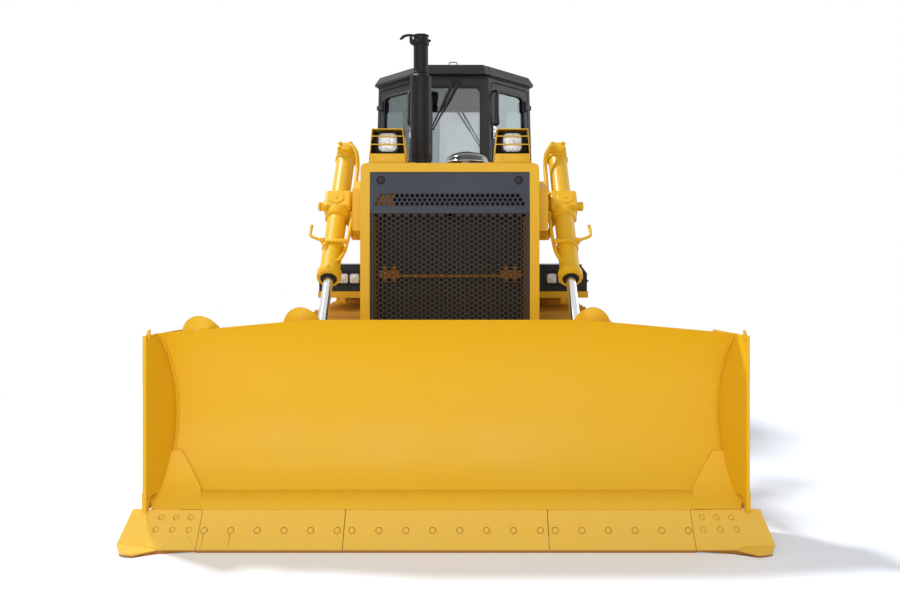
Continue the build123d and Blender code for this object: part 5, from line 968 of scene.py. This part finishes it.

# ------------------------------------------------------------------- lamps, stack, air intake
# Lamp housings are folded plate, open in front, with two guard bars over a moulded lamp. The
# stack is heat-dulled steel pipe; the pre-cleaner's bowl is smoky polycarbonate.
# the housings' insides get a dark brown: painted shade, the yellow plate as it looks in shadow
# inside the open boxes
housing_shade_brown = enamel("lamp_housing_painted_shade", "#33240F", "#4A3515", 0.6, 0.3, 0)
lens, tree, out = new_material("lamp_lens")
facets = node(tree, "TexVoronoi", {"Vector": node(tree, "TexCoord").outputs["Object"],
                                   "Scale": 70.0}).outputs["Distance"]
coat(tree, out, {
    "Base Color": mixed(tree, spread(tree, facets, 0.1, 0.8), linear("#F2F4F5"), linear("#BFC4C8")),
    "Roughness": 0.12, "IOR": 1.5, "Coat Weight": 1.0, "Coat Roughness": 0.03,
    "Normal": node(tree, "Bump", {"Height": facets, "Strength": 0.25, "Distance": 0.002})
    .outputs["Normal"]})
LAMP_X = 0.451
LAMP_FACE = 1.328                    # front of the housings
LAMP_TOP = high("lamp_boxes").z
LAMP_FOOT = high("radiator_guard").z
boxes, inside, lenses, bezels = [bmesh.new() for _ in range(4)]


def rounded_pane(shape, center, wide, tall, radius, thick, crown):
    """Adds a crowned pane facing forward."""
    outline = rounded_outline(wide, tall, radius)
    rings = [[shape.verts.new(center + X * a * share + Z * b * share - Y * depth)
              for a, b in outline] for share, depth in (
                  (1.0, -thick), (1.0, 0.0), (0.93, crown * 0.5), (0.6, crown * 0.9))]
    loft(shape, rings)
    shape.faces.new(rings[-1])


for side in (-1, 1):
    foot_out, foot_in = side * (LAMP_X + 0.133), side * (LAMP_X - 0.137)
    top_out, top_in = side * (LAMP_X + 0.112), side * (LAMP_X - 0.112)

    def edge(outer, z):
        """Where a housing's side wall stands at a height."""
        share = (z - LAMP_FOOT) / (LAMP_TOP - LAMP_FOOT)
        ends = (foot_out, top_out) if outer else (foot_in, top_in)
        return ends[0] + (ends[1] - ends[0]) * share

    wall = 0.005 * side
    for outer in (True, False):
        inward = -wall if outer else wall
        slab(boxes, [(edge(outer, LAMP_FOOT), LAMP_FOOT), (edge(outer, LAMP_TOP), LAMP_TOP),
                     (edge(outer, LAMP_TOP) + inward, LAMP_TOP),
                     (edge(outer, LAMP_FOOT) + inward, LAMP_FOOT)], -0.21,
             at(0, LAMP_FACE, 0), X, Z, 0.0012)
    for z0, z1, back0, deep in ((LAMP_TOP - 0.005, LAMP_TOP, LAMP_FACE, 0.21),
                                (LAMP_FOOT, 2.400, LAMP_FACE, 0.006),
                                (2.463, 2.470, LAMP_FACE - 0.002, 0.02),
                                (2.522, 2.529, LAMP_FACE - 0.002, 0.02)):
        slab(boxes, [(edge(True, z0), z0), (edge(True, z1), z1), (edge(False, z1), z1),
                     (edge(False, z0), z0)], -deep, at(0, back0, 0), X, Z, 0.0012)
    slab(boxes, [(foot_in, LAMP_FOOT), (foot_in - side * 0.066, LAMP_FOOT),
                 (foot_in - side * 0.066, LAMP_FOOT + 0.006), (foot_in, LAMP_FOOT + 0.006)], -0.2,
         at(0, LAMP_FACE + 0.004, 0), X, Z, 0.001)
    for x in (0.378, 0.548):
        turned(boxes, at(side * x, LAMP_FACE, 2.368), -Y, [(0, 0.015), (0.003, 0.0145),
               (0.005, 0.011), (0.005, 0)], 16)
    # back plate and thin side linings inside the housing, in the painted-shade brown
    slab(inside, [(edge(True, 2.36) - wall, 2.36), (edge(True, LAMP_TOP) - wall, LAMP_TOP - 0.006),
                  (edge(False, LAMP_TOP) + wall, LAMP_TOP - 0.006),
                  (edge(False, 2.36) + wall, 2.36)],
         0.006, at(0, LAMP_FACE + 0.15, 0), X, Z)
    for outer in (True, False):
        inward = -1 if outer else 1
        x0 = (edge(outer, 2.45) + inward * side * 0.0085)
        block(inside, at(x0, LAMP_FACE + 0.09, 2.475), (0.002, 0.12, 0.2), 0, X, Z)
    center = at(side * LAMP_X, LAMP_FACE + 0.034, 2.483)
    rounded_pane(lenses, center, 0.134, 0.134, 0.036, 0.01, 0.012)
    turned(lenses, center - Y * 0.009, -Y, [(0, 0.022), (0.003, 0.02), (0.004, 0.012), (0.006, 0)],
           20)
    rounded_pane(bezels, center + Y * 0.007, 0.165, 0.160, 0.045, 0.05, 0.006)
boxes_piece = made("lamp_housings", boxes, yellow_enamel)
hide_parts("lamp_boxes")
made("lamp_housing_backs", inside, housing_shade_brown, slot="black_paint")
lens_piece = made("lamp_lenses", lenses, lens, slot="lamp_lens", smooth=50)
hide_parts("front_lamps")
made("lamp_bezels", bezels, black_enamel, slot="black_paint", smooth=40)

# Stack: bands, clamp with its bolt, weld ring under the taper; flap with its hooked weight.
stack_black = enamel("stack_black", "#131314", "#201F1F", 0.5, 0.3, 0)
dress(stack_black, "exhaust_stack")
STACK = at(-0.240, 1.950, 0)
shape = bmesh.new()
for z, grow, tall in ((2.545, 0.0035, 0.007), (2.558, 0.002, 0.004), (2.442, 0.004, 0.01),
                      (3.062, 0.002, 0.006)):
    turned(shape, STACK + Z * z, Z, [(0, 0.083), (0, 0.083 + grow), (tall, 0.083 + grow),
                                     (tall, 0.083)], 48)
turned(shape, STACK + Z * 2.324, Z, [(0, 0.1035), (0, 0.108), (0.03, 0.108), (0.034, 0.1),
                                     (0.034, 0.084)], 48)
bolt_circle(shape, STACK + Z * 2.358, Z, 6, 0.09184, 0.016, right=X, up=Y)
turned(shape, STACK + Z * 3.092, Z, [(0, 0.0565), (0, 0.061), (0.008, 0.061), (0.012, 0.0565)], 40)
block(shape, STACK + Vector((-0.02, -0.068, 3.335)), (0.05, 0.014, 0.03), 0.003)
bolt(shape, STACK + Vector((0.004, -0.068, 3.335)), X, 0.013)
turned(shape, STACK + Vector((0.058, 0, 3.352)), X, [(0, 0.012), (0.014, 0.012), (0.014, 0.007),
                                                    (0.022, 0.006), (0.022, 0)], 14)
made("stack_bands", shape, stack_black, slot="stack_metal")
shape = bmesh.new()
cap_low = low("rain_cap")
hinge = Vector((-0.3195, STACK.y, 3.3894))
turned(shape, STACK + Z * cap_low.z, Z, [(0.0008, 0), (0.0008, 0.0635), (0.008, 0.0635),
                                         (0.0125, 0.055), (0.0153, 0.02), (0.0153, 0)], 40)
tube(shape, [hinge + Vector((0, -0.019, 0)), hinge + Vector((0, 0.019, 0))], 0.0065, sides=14)
slab(shape, [(0.03, 0.0), (0.03, 0.009), (-0.012, 0.014), (-0.04, 0.012), (-0.066, 0.002),
             (-0.082, -0.016), (-0.09, -0.026), (-0.078, -0.03), (-0.06, -0.022), (-0.044, -0.008),
             (-0.02, -0.002)], -0.026, hinge + Vector((0, -0.013, 0)), X, Z, 0.003)
cap = made("rain_flap", shape, stack_black, "rain_cap", "stack_metal")
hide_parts("rain_cap")

bowl_black, tree, out = new_material("smoked_bowl")
coat(tree, out, {"Base Color": mixed(tree, noise(tree, 0.3, 3), linear("#0E1013"),
                                     linear("#14171B")),
                 "Roughness": 0.12, "Coat Weight": 1.0, "Coat Roughness": 0.03})
shape = bmesh.new()
inlet = at(0.125, 2.200, 0)
bowl_low, bowl_top = low("precleaner").z, high("precleaner").z
profile = [(bowl_low, 0), (bowl_low, 0.110), (bowl_low + 0.012, 0.110), (bowl_low + 0.012, 0.094),
           (bowl_low + 0.042, 0.094), (bowl_low + 0.056, 0.155), (bowl_low + 0.06, 0.168),
           (bowl_low + 0.104, 0.170), (bowl_low + 0.110, 0.174), (bowl_low + 0.120, 0.174),
           (bowl_low + 0.126, 0.169)]
for step in range(1, 11):
    turn = math.pi / 2 * step / 10
    profile.append((bowl_low + 0.126 + (bowl_top - bowl_low - 0.126) * math.sin(turn),
                    0.169 * math.cos(turn) if step < 10 else 0))
turned(shape, inlet, Z, profile, 56)
for a, b in circle(24, 1.0):
    face = Vector((a, b, 0))
    block(shape, inlet + face * 0.171 + Z * (bowl_low + 0.083), (0.004, 0.012, 0.036), 0.001,
          face, Z)
bowl = made("precleaner_bowl", shape, bowl_black, slot="black_paint", smooth=28)
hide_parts("precleaner")
shape = bmesh.new()
turned(shape, inlet + Z * bowl_top, Z, [(-0.004, 0.02), (0.0, 0.016), (0.0, 0)], 6)
tube(shape, [inlet + Vector((a, b, bowl_low + 0.115)) for a, b in circle(40, 0.1735)], 0.004,
     sides=8, closed=True)
made("precleaner_clamp", shape, chrome, slot="chrome_rod")

# ----------------------------------------------------------------------------- cab and glazing
# Folded and welded steel cab in satin slate-black, bonded and rubber-sealed safety glass with
# a faint grey tint, blow-moulded trim inside.
cab_enamel = enamel("cab_enamel", "#191A20", "#26272D", 0.45, 0.2, 0.05)
dress(cab_enamel, "cab_frame", "cab_roof", "door_left", "door_right")
dress(black_enamel, "fender_box_left", "fender_box_right", "consoles", "seat_base", "fender_lamps",
      "seat_cushions")


def safety_glass(name, tint, film_tint, film_rough, mirror=None):
    """Glass under a mirroring film: mirror is the film's share, which is by angle if not given."""
    material, tree, out = new_material(name)
    pane = node(tree, "BsdfPrincipled", {"Base Color": linear(tint), "Roughness": 0.01,
                                         "IOR": 1.15, "Transmission Weight": 1.0})
    film = node(tree, "BsdfGlossy", {"Color": linear(film_tint), "Roughness": film_rough})
    share = mirror or node(tree, "Fresnel", {"IOR": 1.35}).outputs[0]
    cover = node(tree, "MixShader", {0: share, 1: pane.outputs[0], 2: film.outputs[0]})
    tree.links.new(cover.outputs[0], out.inputs["Surface"])
    return material


dress(safety_glass("tinted_safety_glass", "#C6CCCD", "#FFFFFF", 0.02), "cab_glass")
# the doors' panes stand aslant and mirror more of the sky
dress(safety_glass("door_safety_glass", "#C2CCCC", "#CFE0E2", 0.03, 0.13), "door_glass_left",
      "door_glass_right")
rubber, tree, out = new_material("black_rubber")
coat(tree, out, {
    "Base Color": mixed(tree, noise(tree, 0.02, 4), linear("#141517"), linear("#1F2124")),
    "Roughness": spread(tree, noise(tree, 0.05, 3), 0.3, 0.7, 0.5, 0.7)})

CAB_FLOOR = low("cab_frame").z + 0.020
LEAN = math.radians(1.5)
PLAN = [(-0.350, 3.050), (0.350, 3.050), (0.800, 3.700), (0.560, 4.720), (-0.560, 4.720),
        (-0.800, 3.700)]


def wall(number):
    """A cab wall's foot in its middle, its directions along and up, its outward one and width."""
    start, end = [at(*PLAN[(number + step) % 6], CAB_FLOOR) for step in (0, 1)]
    along = (end - start).normalized()
    level = along.cross(Z)
    return ((start + end) / 2, along, Z * math.cos(LEAN) - level * math.sin(LEAN),
            level * math.cos(LEAN) + Z * math.sin(LEAN), (end - start).length)


def on_wall(number, a, z, out=0.0):
    """A point on a cab wall: along it, at a height, and out from it."""
    foot, along, up, normal, _ = wall(number)
    return foot + along * a + up * ((z - CAB_FLOOR) / math.cos(LEAN)) + normal * out


def window_ring(shape, number, half, bottom, top, radius, out, thick):
    """Adds the rubber moulding round a window's opening."""
    path = [on_wall(number, a, (bottom + top) / 2 + b, out)
            for a, b in rounded_outline(2 * half, top - bottom, radius, 6)]
    tube(shape, path, thick, sides=8, closed=True)


door_half = wall(1)[4] / 2 - 0.072
rear_half = wall(2)[4] / 2
shape = bmesh.new()
for number, half, bottom, top, radius in ((0, 0.254, 1.79, 3.19, 0.06), (3, 0.45, 2.17, 3.19, 0.07),
                                          (2, rear_half - 0.12, 2.08, 3.19, 0.07),
                                          (4, rear_half - 0.12, 2.08, 3.19, 0.07)):
    window_ring(shape, number, half, bottom, top, radius, -0.002, 0.011)
made("window_seals", shape, rubber, slot="cab_trim")
for (name, side), number in zip(SIDES, (1, 5)):
    shape = bmesh.new()
    window_ring(shape, number, door_half - 0.066, 1.755, 3.169, 0.08, -0.002, 0.010)
    # curved grab handle at the door's leading edge, the latch and its lock
    lead = -side * (door_half - 0.033)
    handle = [(lead + side * 0.03, 3.165, 0.004), (lead + side * 0.018, 3.15, 0.036),
              (lead - side * 0.008, 3.07, 0.05), (lead - side * 0.012, 2.98, 0.05),
              (lead, 2.90, 0.044), (lead + side * 0.024, 2.855, 0.034),
              (lead + side * 0.03, 2.845, 0.004)]
    tube(shape, [on_wall(number, a, z, o) for a, z, o in handle], 0.0125, 0.03)
    low_handle = [(lead, 2.5, 0.0), (lead, 2.5, 0.05), (lead, 1.9, 0.05), (lead, 1.9, 0.0)]
    tube(shape, [on_wall(number, a, z, o) for a, z, o in low_handle], 0.0115, 0.035)
    # seal round the door itself
    path = [on_wall(number, a, 2.4 + b, -0.010)
            for a, b in rounded_outline(2 * door_half - 0.006, 1.67 - 0.006, 0.05, 5)]
    tube(shape, path, 0.006, sides=6, closed=True)
    made(f"door_handles_{name}", shape, rubber, f"door_{name}", "cab_trim")
    shape = bmesh.new()
    _, along, up, normal, _ = wall(number)
    block(shape, on_wall(number, lead, 2.775, 0.006), (0.05, 0.012, 0.12), 0.004, along, up)
    turned(shape, on_wall(number, lead, 2.805, 0.012), normal, [(0, 0.015), (0.008, 0.015),
           (0.01, 0.012), (0.01, 0)], 20)
    block(shape, on_wall(number, lead, 2.75, 0.022), (0.028, 0.014, 0.05), 0.006, along, up)
    made(f"door_lock_{name}", shape, chrome, f"door_{name}", "chrome_rod")


def wiper(shape, number, hub_a, hub_z, tip_a, tip_z, blade_half, out=0.016):
    """Adds a twin-arm wiper: hub, two parallel rods, and an upright blade at their tips."""
    _, along, up, normal, _ = wall(number)
    gap = 0.018
    for shift in (-gap, gap):
        hub = on_wall(number, hub_a + shift * 1.4, hub_z, out)
        turned(shape, hub - normal * out, normal, [(0, 0.02), (0.016, 0.018), (0.024, 0.011),
                                                  (0.024, 0)], 20)
        tip = on_wall(number, tip_a + shift * 0.6, tip_z, out + 0.01)
        middle_arm = hub.lerp(tip, 0.5) + normal * 0.006
        tube(shape, [hub + normal * 0.006, middle_arm], 0.0115, sides=8)
        tube(shape, [middle_arm, tip], 0.0075, sides=8)
    tip = on_wall(number, tip_a, tip_z, out + 0.008)
    block(shape, tip, (0.05, 0.01, 0.012), 0.002, along, up)
    for rise in (-0.35, 0.35):
        block(shape, tip + up * (blade_half * rise) - normal * 0.001, (0.012, 0.012, 0.04), 0.002,
              along, up)
    block(shape, tip - normal * 0.006, (0.010, 0.008, 2 * blade_half), 0.001, along, up)
    block(shape, tip - normal * 0.013, (0.004, 0.012, 2 * blade_half), 0, along, up)


shape = bmesh.new()
wiper(shape, 0, 0.028, 3.235, -0.195, 2.79, 0.29)
wiper(shape, 3, -0.03, 3.225, -0.34, 2.72, 0.24)
made("wipers", shape, rubber, slot="black_paint")

# Roof: lifting loop in front, lifting eyes at the corners, and a gutter lip under the eaves.
shape = bmesh.new()
roof_top = high("cab_roof").z
tube(shape, trail(at, (-0.035, 3.09, roof_top - 0.03), (-0.035, 3.085, roof_top + 0.03),
                  (0.035, 3.085, roof_top + 0.03), (0.035, 3.09, roof_top - 0.03)),
     0.004, 0.012, 8)
for x, back in ((-0.45, 3.62), (0.45, 3.62), (-0.38, 4.5), (0.38, 4.5)):
    ring = [at(x, back, roof_top + 0.011) + Y * a + Z * b for a, b in circle(16, 0.022)]
    tube(shape, ring, 0.006, sides=8, closed=True)
    block(shape, at(x, back, roof_top - 0.003), (0.05, 0.07, 0.008), 0.002)
eaves = low("cab_roof").z
for number in range(1, 6):           # every wall but the front one
    foot, along, up, normal, length = wall(number)
    lip = foot + up * (eaves - CAB_FLOOR - 0.004)
    block(shape, lip + normal * 0.006, (length - 0.06, 0.014, 0.016), 0.003, along, up)
made("roof_loops", shape, cab_enamel, slot="black_paint")

# Inside: dash, levers, armrest pads, a mirror under the header, a grab bar and the floor mat.
shape = bmesh.new()
for side in (-1, 1):
    block(shape, at(side * 0.4, 3.95, 1.894), (0.17, 0.44, 0.05), 0.018)
    tube(shape, trail(at, (side * 0.4, 3.74, 1.87), (side * 0.4, 3.72, 2.03)), 0.012, sides=12)
    turned(shape, at(side * 0.4, 3.72, 2.02), Z, [(0, 0.012), (0.02, 0.03), (0.06, 0.034),
           (0.085, 0.022), (0.09, 0)], 20)
    tube(shape, trail(at, (side * 0.16, 3.45, 1.36), (side * 0.16, 3.42, 1.44)), 0.014, sides=10)
    block(shape, at(side * 0.16, 3.40, 1.46), (0.11, 0.16, 0.02), 0.006, X,
          Vector((0, -0.5, 1)).normalized())
block(shape, at(0, 3.20, 2.02), (0.36, 0.14, 0.05), 0.015)
block(shape, at(0, 3.9, 1.362), (0.5, 1.2, 0.012), 0.004)
block(shape, at(-0.30, 3.33, 2.86), (0.19, 0.02, 0.09), 0.012)
tube(shape, trail(at, (-0.30, 3.34, 2.9), (-0.30, 3.36, 3.05), (-0.26, 3.3, 3.2)), 0.006, 0.03, 8)
made("cab_controls", shape, rubber, slot="cab_trim")
headliner = bmesh.new()
outline = [(x * 0.9, (back - 3.88) * 0.9) for x, back in PLAN]
slab(headliner, outline, 0.03, at(0, 3.88, 3.235), X, Y, 0.01)
felt, tree, out = new_material("headliner_felt")
coat(tree, out, {"Base Color": linear("#16242A"), "Roughness": 0.95, "Specular IOR Level": 0.05})
made("headliner", headliner, felt, slot="cab_trim")

# --------------------------------------------------------------- fenders, boxes, tank and rear
# Pressed tread plate on welded brackets, black battery and tool boxes with moulded work lamps,
# a welded fuel tank whose rear wall carries lamps and grab rails.
dress(yellow_enamel, "fender_left", "fender_right", "fuel_tank")
FENDER_TOP = high("fender_left").z
BOX_FACE = low("fender_box_left").y - LIP
TANK_REAR = 5.3602
tread, boxes_trim, glassware, yellow_bits, dark_bits = [bmesh.new() for _ in range(5)]
for side in (-1, 1):
    # tread plate's raised lozenges along the walkway outside the cab
    for row in range(44):
        for column in range(5):
            x = side * (0.90 + column * 0.062 + (0.031 if row % 2 else 0))
            back = 3.50 + row * 0.0315
            tilt = math.radians(45 if (row + column) % 2 else -45)
            slab(tread, [(-0.013, 0), (0, 0.0045), (0.013, 0), (0, -0.0045)], 0.0018,
                 at(x, back, FENDER_TOP - 0.0002),
                 Vector((math.cos(tilt), math.sin(tilt), 0)),
                 Vector((-math.sin(tilt), math.cos(tilt), 0)))
    # box front: raised bezel, lamp with chrome bowl, hinged lid and hasp
    face = at(side * 0.950, BOX_FACE, (FENDER_TOP + 1.545) / 2)
    outline_big = rounded_outline(0.250, 0.160, 0.028)
    outline_small = rounded_outline(0.222, 0.132, 0.02)
    rings = [[boxes_trim.verts.new(face + X * a + Z * b - Y * depth) for a, b in outline]
             for outline, depth in ((outline_big, 0.0), (outline_big, 0.006),
                                    (outline_small, 0.006),
                                    (outline_small, -0.03))]
    loft(boxes_trim, rings)
    for shift in (-0.052, 0.052):
        rounded_pane(glassware, face + X * shift + Y * 0.012, 0.088, 0.088, 0.018, 0.02, 0.006)
        turned(glassware, face + X * shift + Y * 0.006, -Y, [(0, 0.02), (0.003, 0.018),
                                                             (0.004, 0.008), (0.006, 0)], 16)
    block(dark_bits, at(side * 0.90, BOX_FACE + 0.21, 1.549), (0.56, 0.40, 0.008), 0.003)
    for x in (0.75, 1.05):
        block(dark_bits, at(side * x, BOX_FACE - 0.004, 1.52), (0.05, 0.012, 0.035), 0.004)
    tube(dark_bits, trail(at, *((side * x, BOX_FACE + back, 1.40) for x, back in (
        (1.222, 0.1), (1.245, 0.1), (1.245, 0.3), (1.222, 0.3)))), 0.008, 0.02, 8)
    # bracket posts under the fender's front edge
    for x in (0.72, 1.02):
        block(yellow_bits, at(side * x, 3.035, 1.228), (0.09, 0.03, 0.06), 0.005)
        for shift in (-0.028, 0.028):
            bolt(yellow_bits, at(side * (x + shift), 3.02, 1.23), -Y, 0.016)
    # handrail beside the walkway and step plates on the track frame
    tube(dark_bits, trail(at, (side * 0.80, 4.60, 2.05), (side * 0.86, 4.62, 2.05),
                          (side * 0.86, 4.62, 1.45), (side * 0.80, 4.60, 1.45)), 0.0125, 0.05, 10)
    block(yellow_bits, Vector((side * (TRACK_X + 0.2), IDLER_Y + 1.15, AXLE_Z + 0.185)),
          (0.16, 0.34, 0.012), 0.003)
    # tank: rear lamps with rubber bezels, grab irons, straps and bolts
    face = at(side * 0.50, TANK_REAR, 1.78)
    block(dark_bits, face + Y * 0.008, (0.20, 0.03, 0.14), 0.008)
    slab(glassware, rounded_outline(0.16, 0.10, 0.02), 0.012, face + Y * 0.022, -X, Z, 0.003)
    tube(yellow_bits, trail(at, *((side * 0.60, TANK_REAR + out, z) for out, z in (
        (0, 1.40), (0.07, 1.40), (0.07, 1.68), (0, 1.68)))), 0.0125, 0.035, 10)
    block(yellow_bits, at(side * 0.3, 5.05, 2.152), (0.012, 0.4, 0.03), 0.003)
    for z, forward in ((1.36, 0), (2.02, 0.09)):     # the upper one on the tank's slope
        bolt(yellow_bits, at(side * 0.605, TANK_REAR - forward, z), Y, 0.02)
# filler cap with its neck and the level sight on the tank's rear wall
turned(yellow_bits, at(-0.32, 4.93, 2.148), Z, [(0, 0.075), (0.03, 0.075), (0.03, 0.068),
                                                (0.034, 0.068)], 32)
turned(dark_bits, at(-0.32, 4.93, 2.18), Z, [(0, 0.07), (0.03, 0.07), (0.038, 0.062), (0.038, 0)],
       12)
block(dark_bits, at(0, 5.363, 1.7), (0.03, 0.012, 0.34), 0.004)
slab(glassware, rounded_outline(0.012, 0.3, 0.005), 0.004, at(0, 5.368, 1.7), -X, Z)
# tank's welded seam
tube(yellow_bits, trail(at, (-0.63, 5.361, 1.33), (0.63, 5.361, 1.33)), 0.004, sides=6)
# drawbar: the jaw's grease-blackened pin collar
pin = at(0, 5.349, 0.52)
turned(dark_bits, pin + Z * 0.07, Z, [(0, 0.026), (0.03, 0.026), (0.036, 0.02), (0.036, 0)], 20)
made("fender_tread", tread, yellow_enamel)
made("box_lamp_bezels", boxes_trim, black_enamel, slot="black_paint")
lamps_piece = made("work_lamp_lenses", glassware, lens, slot="lamp_lens", smooth=50)
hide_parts("fender_lamps")
made("fender_and_tank_fittings", yellow_bits, yellow_enamel)
made("box_and_tank_trim", dark_bits, black_enamel, slot="black_paint")

# --------------------------------------------------------------------------------- seat
# Moulded polyurethane foam under woven cloth, sewn with piping, on a sprung steel box.
cloth, tree, out = new_material("seat_cloth")
where = node(tree, "TexCoord").outputs["Object"]
warp = node(tree, "TexWave", {"Vector": where, "Scale": 260.0}, bands_direction="X").outputs["Fac"]
weft = node(tree, "TexWave", {"Vector": where, "Scale": 260.0}, bands_direction="Z").outputs["Fac"]
weave = node(tree, "Math", {0: warp, 1: weft}, operation="MULTIPLY").outputs[0]
tone = mixed(tree, noise(tree, 0.08, 4), linear("#26282D"), linear("#34363C"))
body = mixed(tree, weave, tone, linear("#43464D"))
coat(tree, out, {
    "Base Color": body, "Roughness": 0.9, "Sheen Weight": 0.35,
    "Normal": node(tree, "Bump", {"Height": weave, "Strength": 0.4, "Distance": 0.001})
    .outputs["Normal"]})


VOXEL, SWELL_CAP, SWELL_FRAMES = 0.006, 0.022, 20


def cushion(name, center, wide, tall, thick, right, up):
    """A foam pad: a block remeshed, swollen by cloth pressure up to a cap, then smoothed."""
    shape = bmesh.new()
    start = [measure - 2 * SWELL_CAP for measure in (wide, thick, tall)]
    block(shape, center, start, 0.026, right, up)
    piece = made(name, shape, cloth, slot="seat_cloth", smooth=0)
    remesh = piece.modifiers.new("voxels", "REMESH")
    remesh.mode = "VOXEL"
    remesh.voxel_size = VOXEL
    bpy.context.view_layer.objects.active = piece
    bpy.ops.object.modifier_apply(modifier="voxels")
    before = [vertex.co.copy() for vertex in piece.data.vertices]
    swell = piece.modifiers.new("pressure", "CLOTH")
    swell.settings.use_pressure = True
    swell.settings.uniform_pressure_force = 4.0
    swell.settings.effector_weights.gravity = 0
    for frame_number in range(1, SWELL_FRAMES + 1):
        bpy.context.scene.frame_set(frame_number)
    bpy.ops.object.modifier_apply(modifier="pressure")
    for vertex, rest in zip(piece.data.vertices, before):
        move = vertex.co - rest
        if move.length > SWELL_CAP:
            vertex.co = rest + move.normalized() * SWELL_CAP
    bpy.context.scene.frame_set(1)
    smooth = piece.modifiers.new("smooth", "SUBSURF")
    smooth.levels = smooth.render_levels = 1
    bpy.ops.object.modifier_apply(modifier="smooth")
    piece.data.shade_smooth()
    return piece


seat_low, seat_high = low("seat_cushions"), high("seat_cushions")
CUSHION_THICK = 0.110
base_z = seat_low.z
pan = cushion("seat_pan", Vector((0, seat_low.y + 0.25, base_z + CUSHION_THICK / 2)), 0.50, 0.50,
              CUSHION_THICK, X, Y)
back_y = seat_high.y - CUSHION_THICK / 2
rest = cushion("seat_backrest",
               Vector((0, back_y, (base_z + CUSHION_THICK - 0.01 + seat_high.z) / 2)),
               0.48, seat_high.z - base_z - CUSHION_THICK + 0.01, CUSHION_THICK, X, Z)
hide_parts("seat_cushions")
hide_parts("seat_cushions")
shape = bmesh.new()
for wide, tall, center, up, out in (
        (0.47, 0.47, Vector((0, seat_low.y + 0.25, base_z + CUSHION_THICK - 0.012)), Y, Z),
        (0.45, 0.69, Vector((0, back_y - 0.040, (base_z + CUSHION_THICK + seat_high.z) / 2)),
         Z, -Y)):
    path = [center + X * a + up * b for a, b in rounded_outline(wide, tall, 0.06)]
    tube(shape, path, 0.004, sides=8, closed=True)
made("seat_piping", shape, rubber, slot="cab_trim")

# -------------------------------------------------------------------------- floor, lights, camera
# A white sweep, a hard lamp high behind the machine's right, and broad weak ones before and beside.
FLOOR_HALF = 60.0


def seen_directly(tree):
    """1 for camera, mirror and through-glass rays, which see the sweep as white."""
    path = node(tree, "LightPath")
    first = node(tree, "Math", {0: path.outputs["Is Camera Ray"],
                                1: path.outputs["Is Glossy Ray"]}, operation="MAXIMUM").outputs[0]
    return node(tree, "Math", {0: first, 1: path.outputs["Is Transmission Ray"]},
                operation="MAXIMUM").outputs[0]


sweep, tree, out = new_material("white_sweep")
matt = node(tree, "BsdfDiffuse", {"Color": linear("#F2F2F2")})
lifted = node(tree, "AddShader", {
    0: node(tree, "BsdfDiffuse", {"Color": (0.74, 0.79, 0.88, 1)}).outputs[0],
    1: node(tree, "Emission", {"Color": (1, 1, 1, 1), "Strength": 0.19}).outputs[0]})
far = node(tree, "VectorMath", {0: node(tree, "TexCoord").outputs["Object"]},
           operation="LENGTH").outputs["Value"]
white = node(tree, "Emission", {"Color": (1, 1, 1, 1), "Strength": 1.0})
fading = node(tree, "MixShader", {0: spread(tree, far, 4.0, 5.4), 1: lifted.outputs[0],
                                  2: white.outputs[0]})
both = node(tree, "MixShader", {0: seen_directly(tree), 1: matt.outputs[0], 2: fading.outputs[0]})
tree.links.new(both.outputs[0], out.inputs["Surface"])
floor_mesh = bpy.data.meshes.new("floor")
floor_mesh.from_pydata([(x * FLOOR_HALF, y * FLOOR_HALF, CAD_LOW.z) for x, y in
                        ((-1, -1), (1, -1), (1, 1), (-1, 1))], [], [(0, 1, 2, 3)])
floor_mesh.materials.append(sweep)
floor = bpy.data.objects.new("floor", floor_mesh)
bpy.context.collection.objects.link(floor)

world = bpy.data.worlds.new("studio")
bpy.context.scene.world = world
world.use_nodes = True
tree = world.node_tree
tree.nodes.clear()
sky = node(tree, "Background", {
    "Color": (1, 1, 1, 1), "Strength": spread(tree, seen_directly(tree), 0, 1, 0.42, 1.0)})
tree.links.new(sky.outputs[0], node(tree, "OutputWorld").inputs["Surface"])

for name, place, size, watts in (("key_lamp", (-11.8, 4.8, 21.6), 2.6, 5000),
                                 ("front_softbox", (-1.5, -11.5, 4.0), 7.0, 420),
                                 ("side_softbox", (8.5, 3.0, 5.0), 5.0, 140)):
    lamp = bpy.data.lights.new(name, "AREA")
    lamp.size = size
    lamp.energy = watts
    light = bpy.data.objects.new(name, lamp)
    light.location = place
    aim = Vector((0, -1.6, 0.8)) - Vector(place)
    light.rotation_euler = aim.to_track_quat("-Z", "Y").to_euler()
    bpy.context.collection.objects.link(light)

# eye level a little under the hood, just off the machine's middle line
EYE_AHEAD = 5.0                      # of the lip
EYE_HEIGHT = 1.778
EYE_OFF = 0.1085
camera_data = bpy.data.cameras.new("camera")
camera_data.lens = 35.2
camera_data.sensor_width = 36
camera = bpy.data.objects.new("camera", camera_data)
camera.location = (EYE_OFF, LIP - EYE_AHEAD, EYE_HEIGHT)
camera.rotation_euler = (math.radians(90), 0, 0)
camera_data.shift_x = -1 / 60        # the picture is framed off the eye's level line
camera_data.shift_y = -1 / 15
bpy.context.collection.objects.link(camera)
bpy.context.scene.camera = camera
bpy.context.scene.view_settings.view_transform = "Standard"
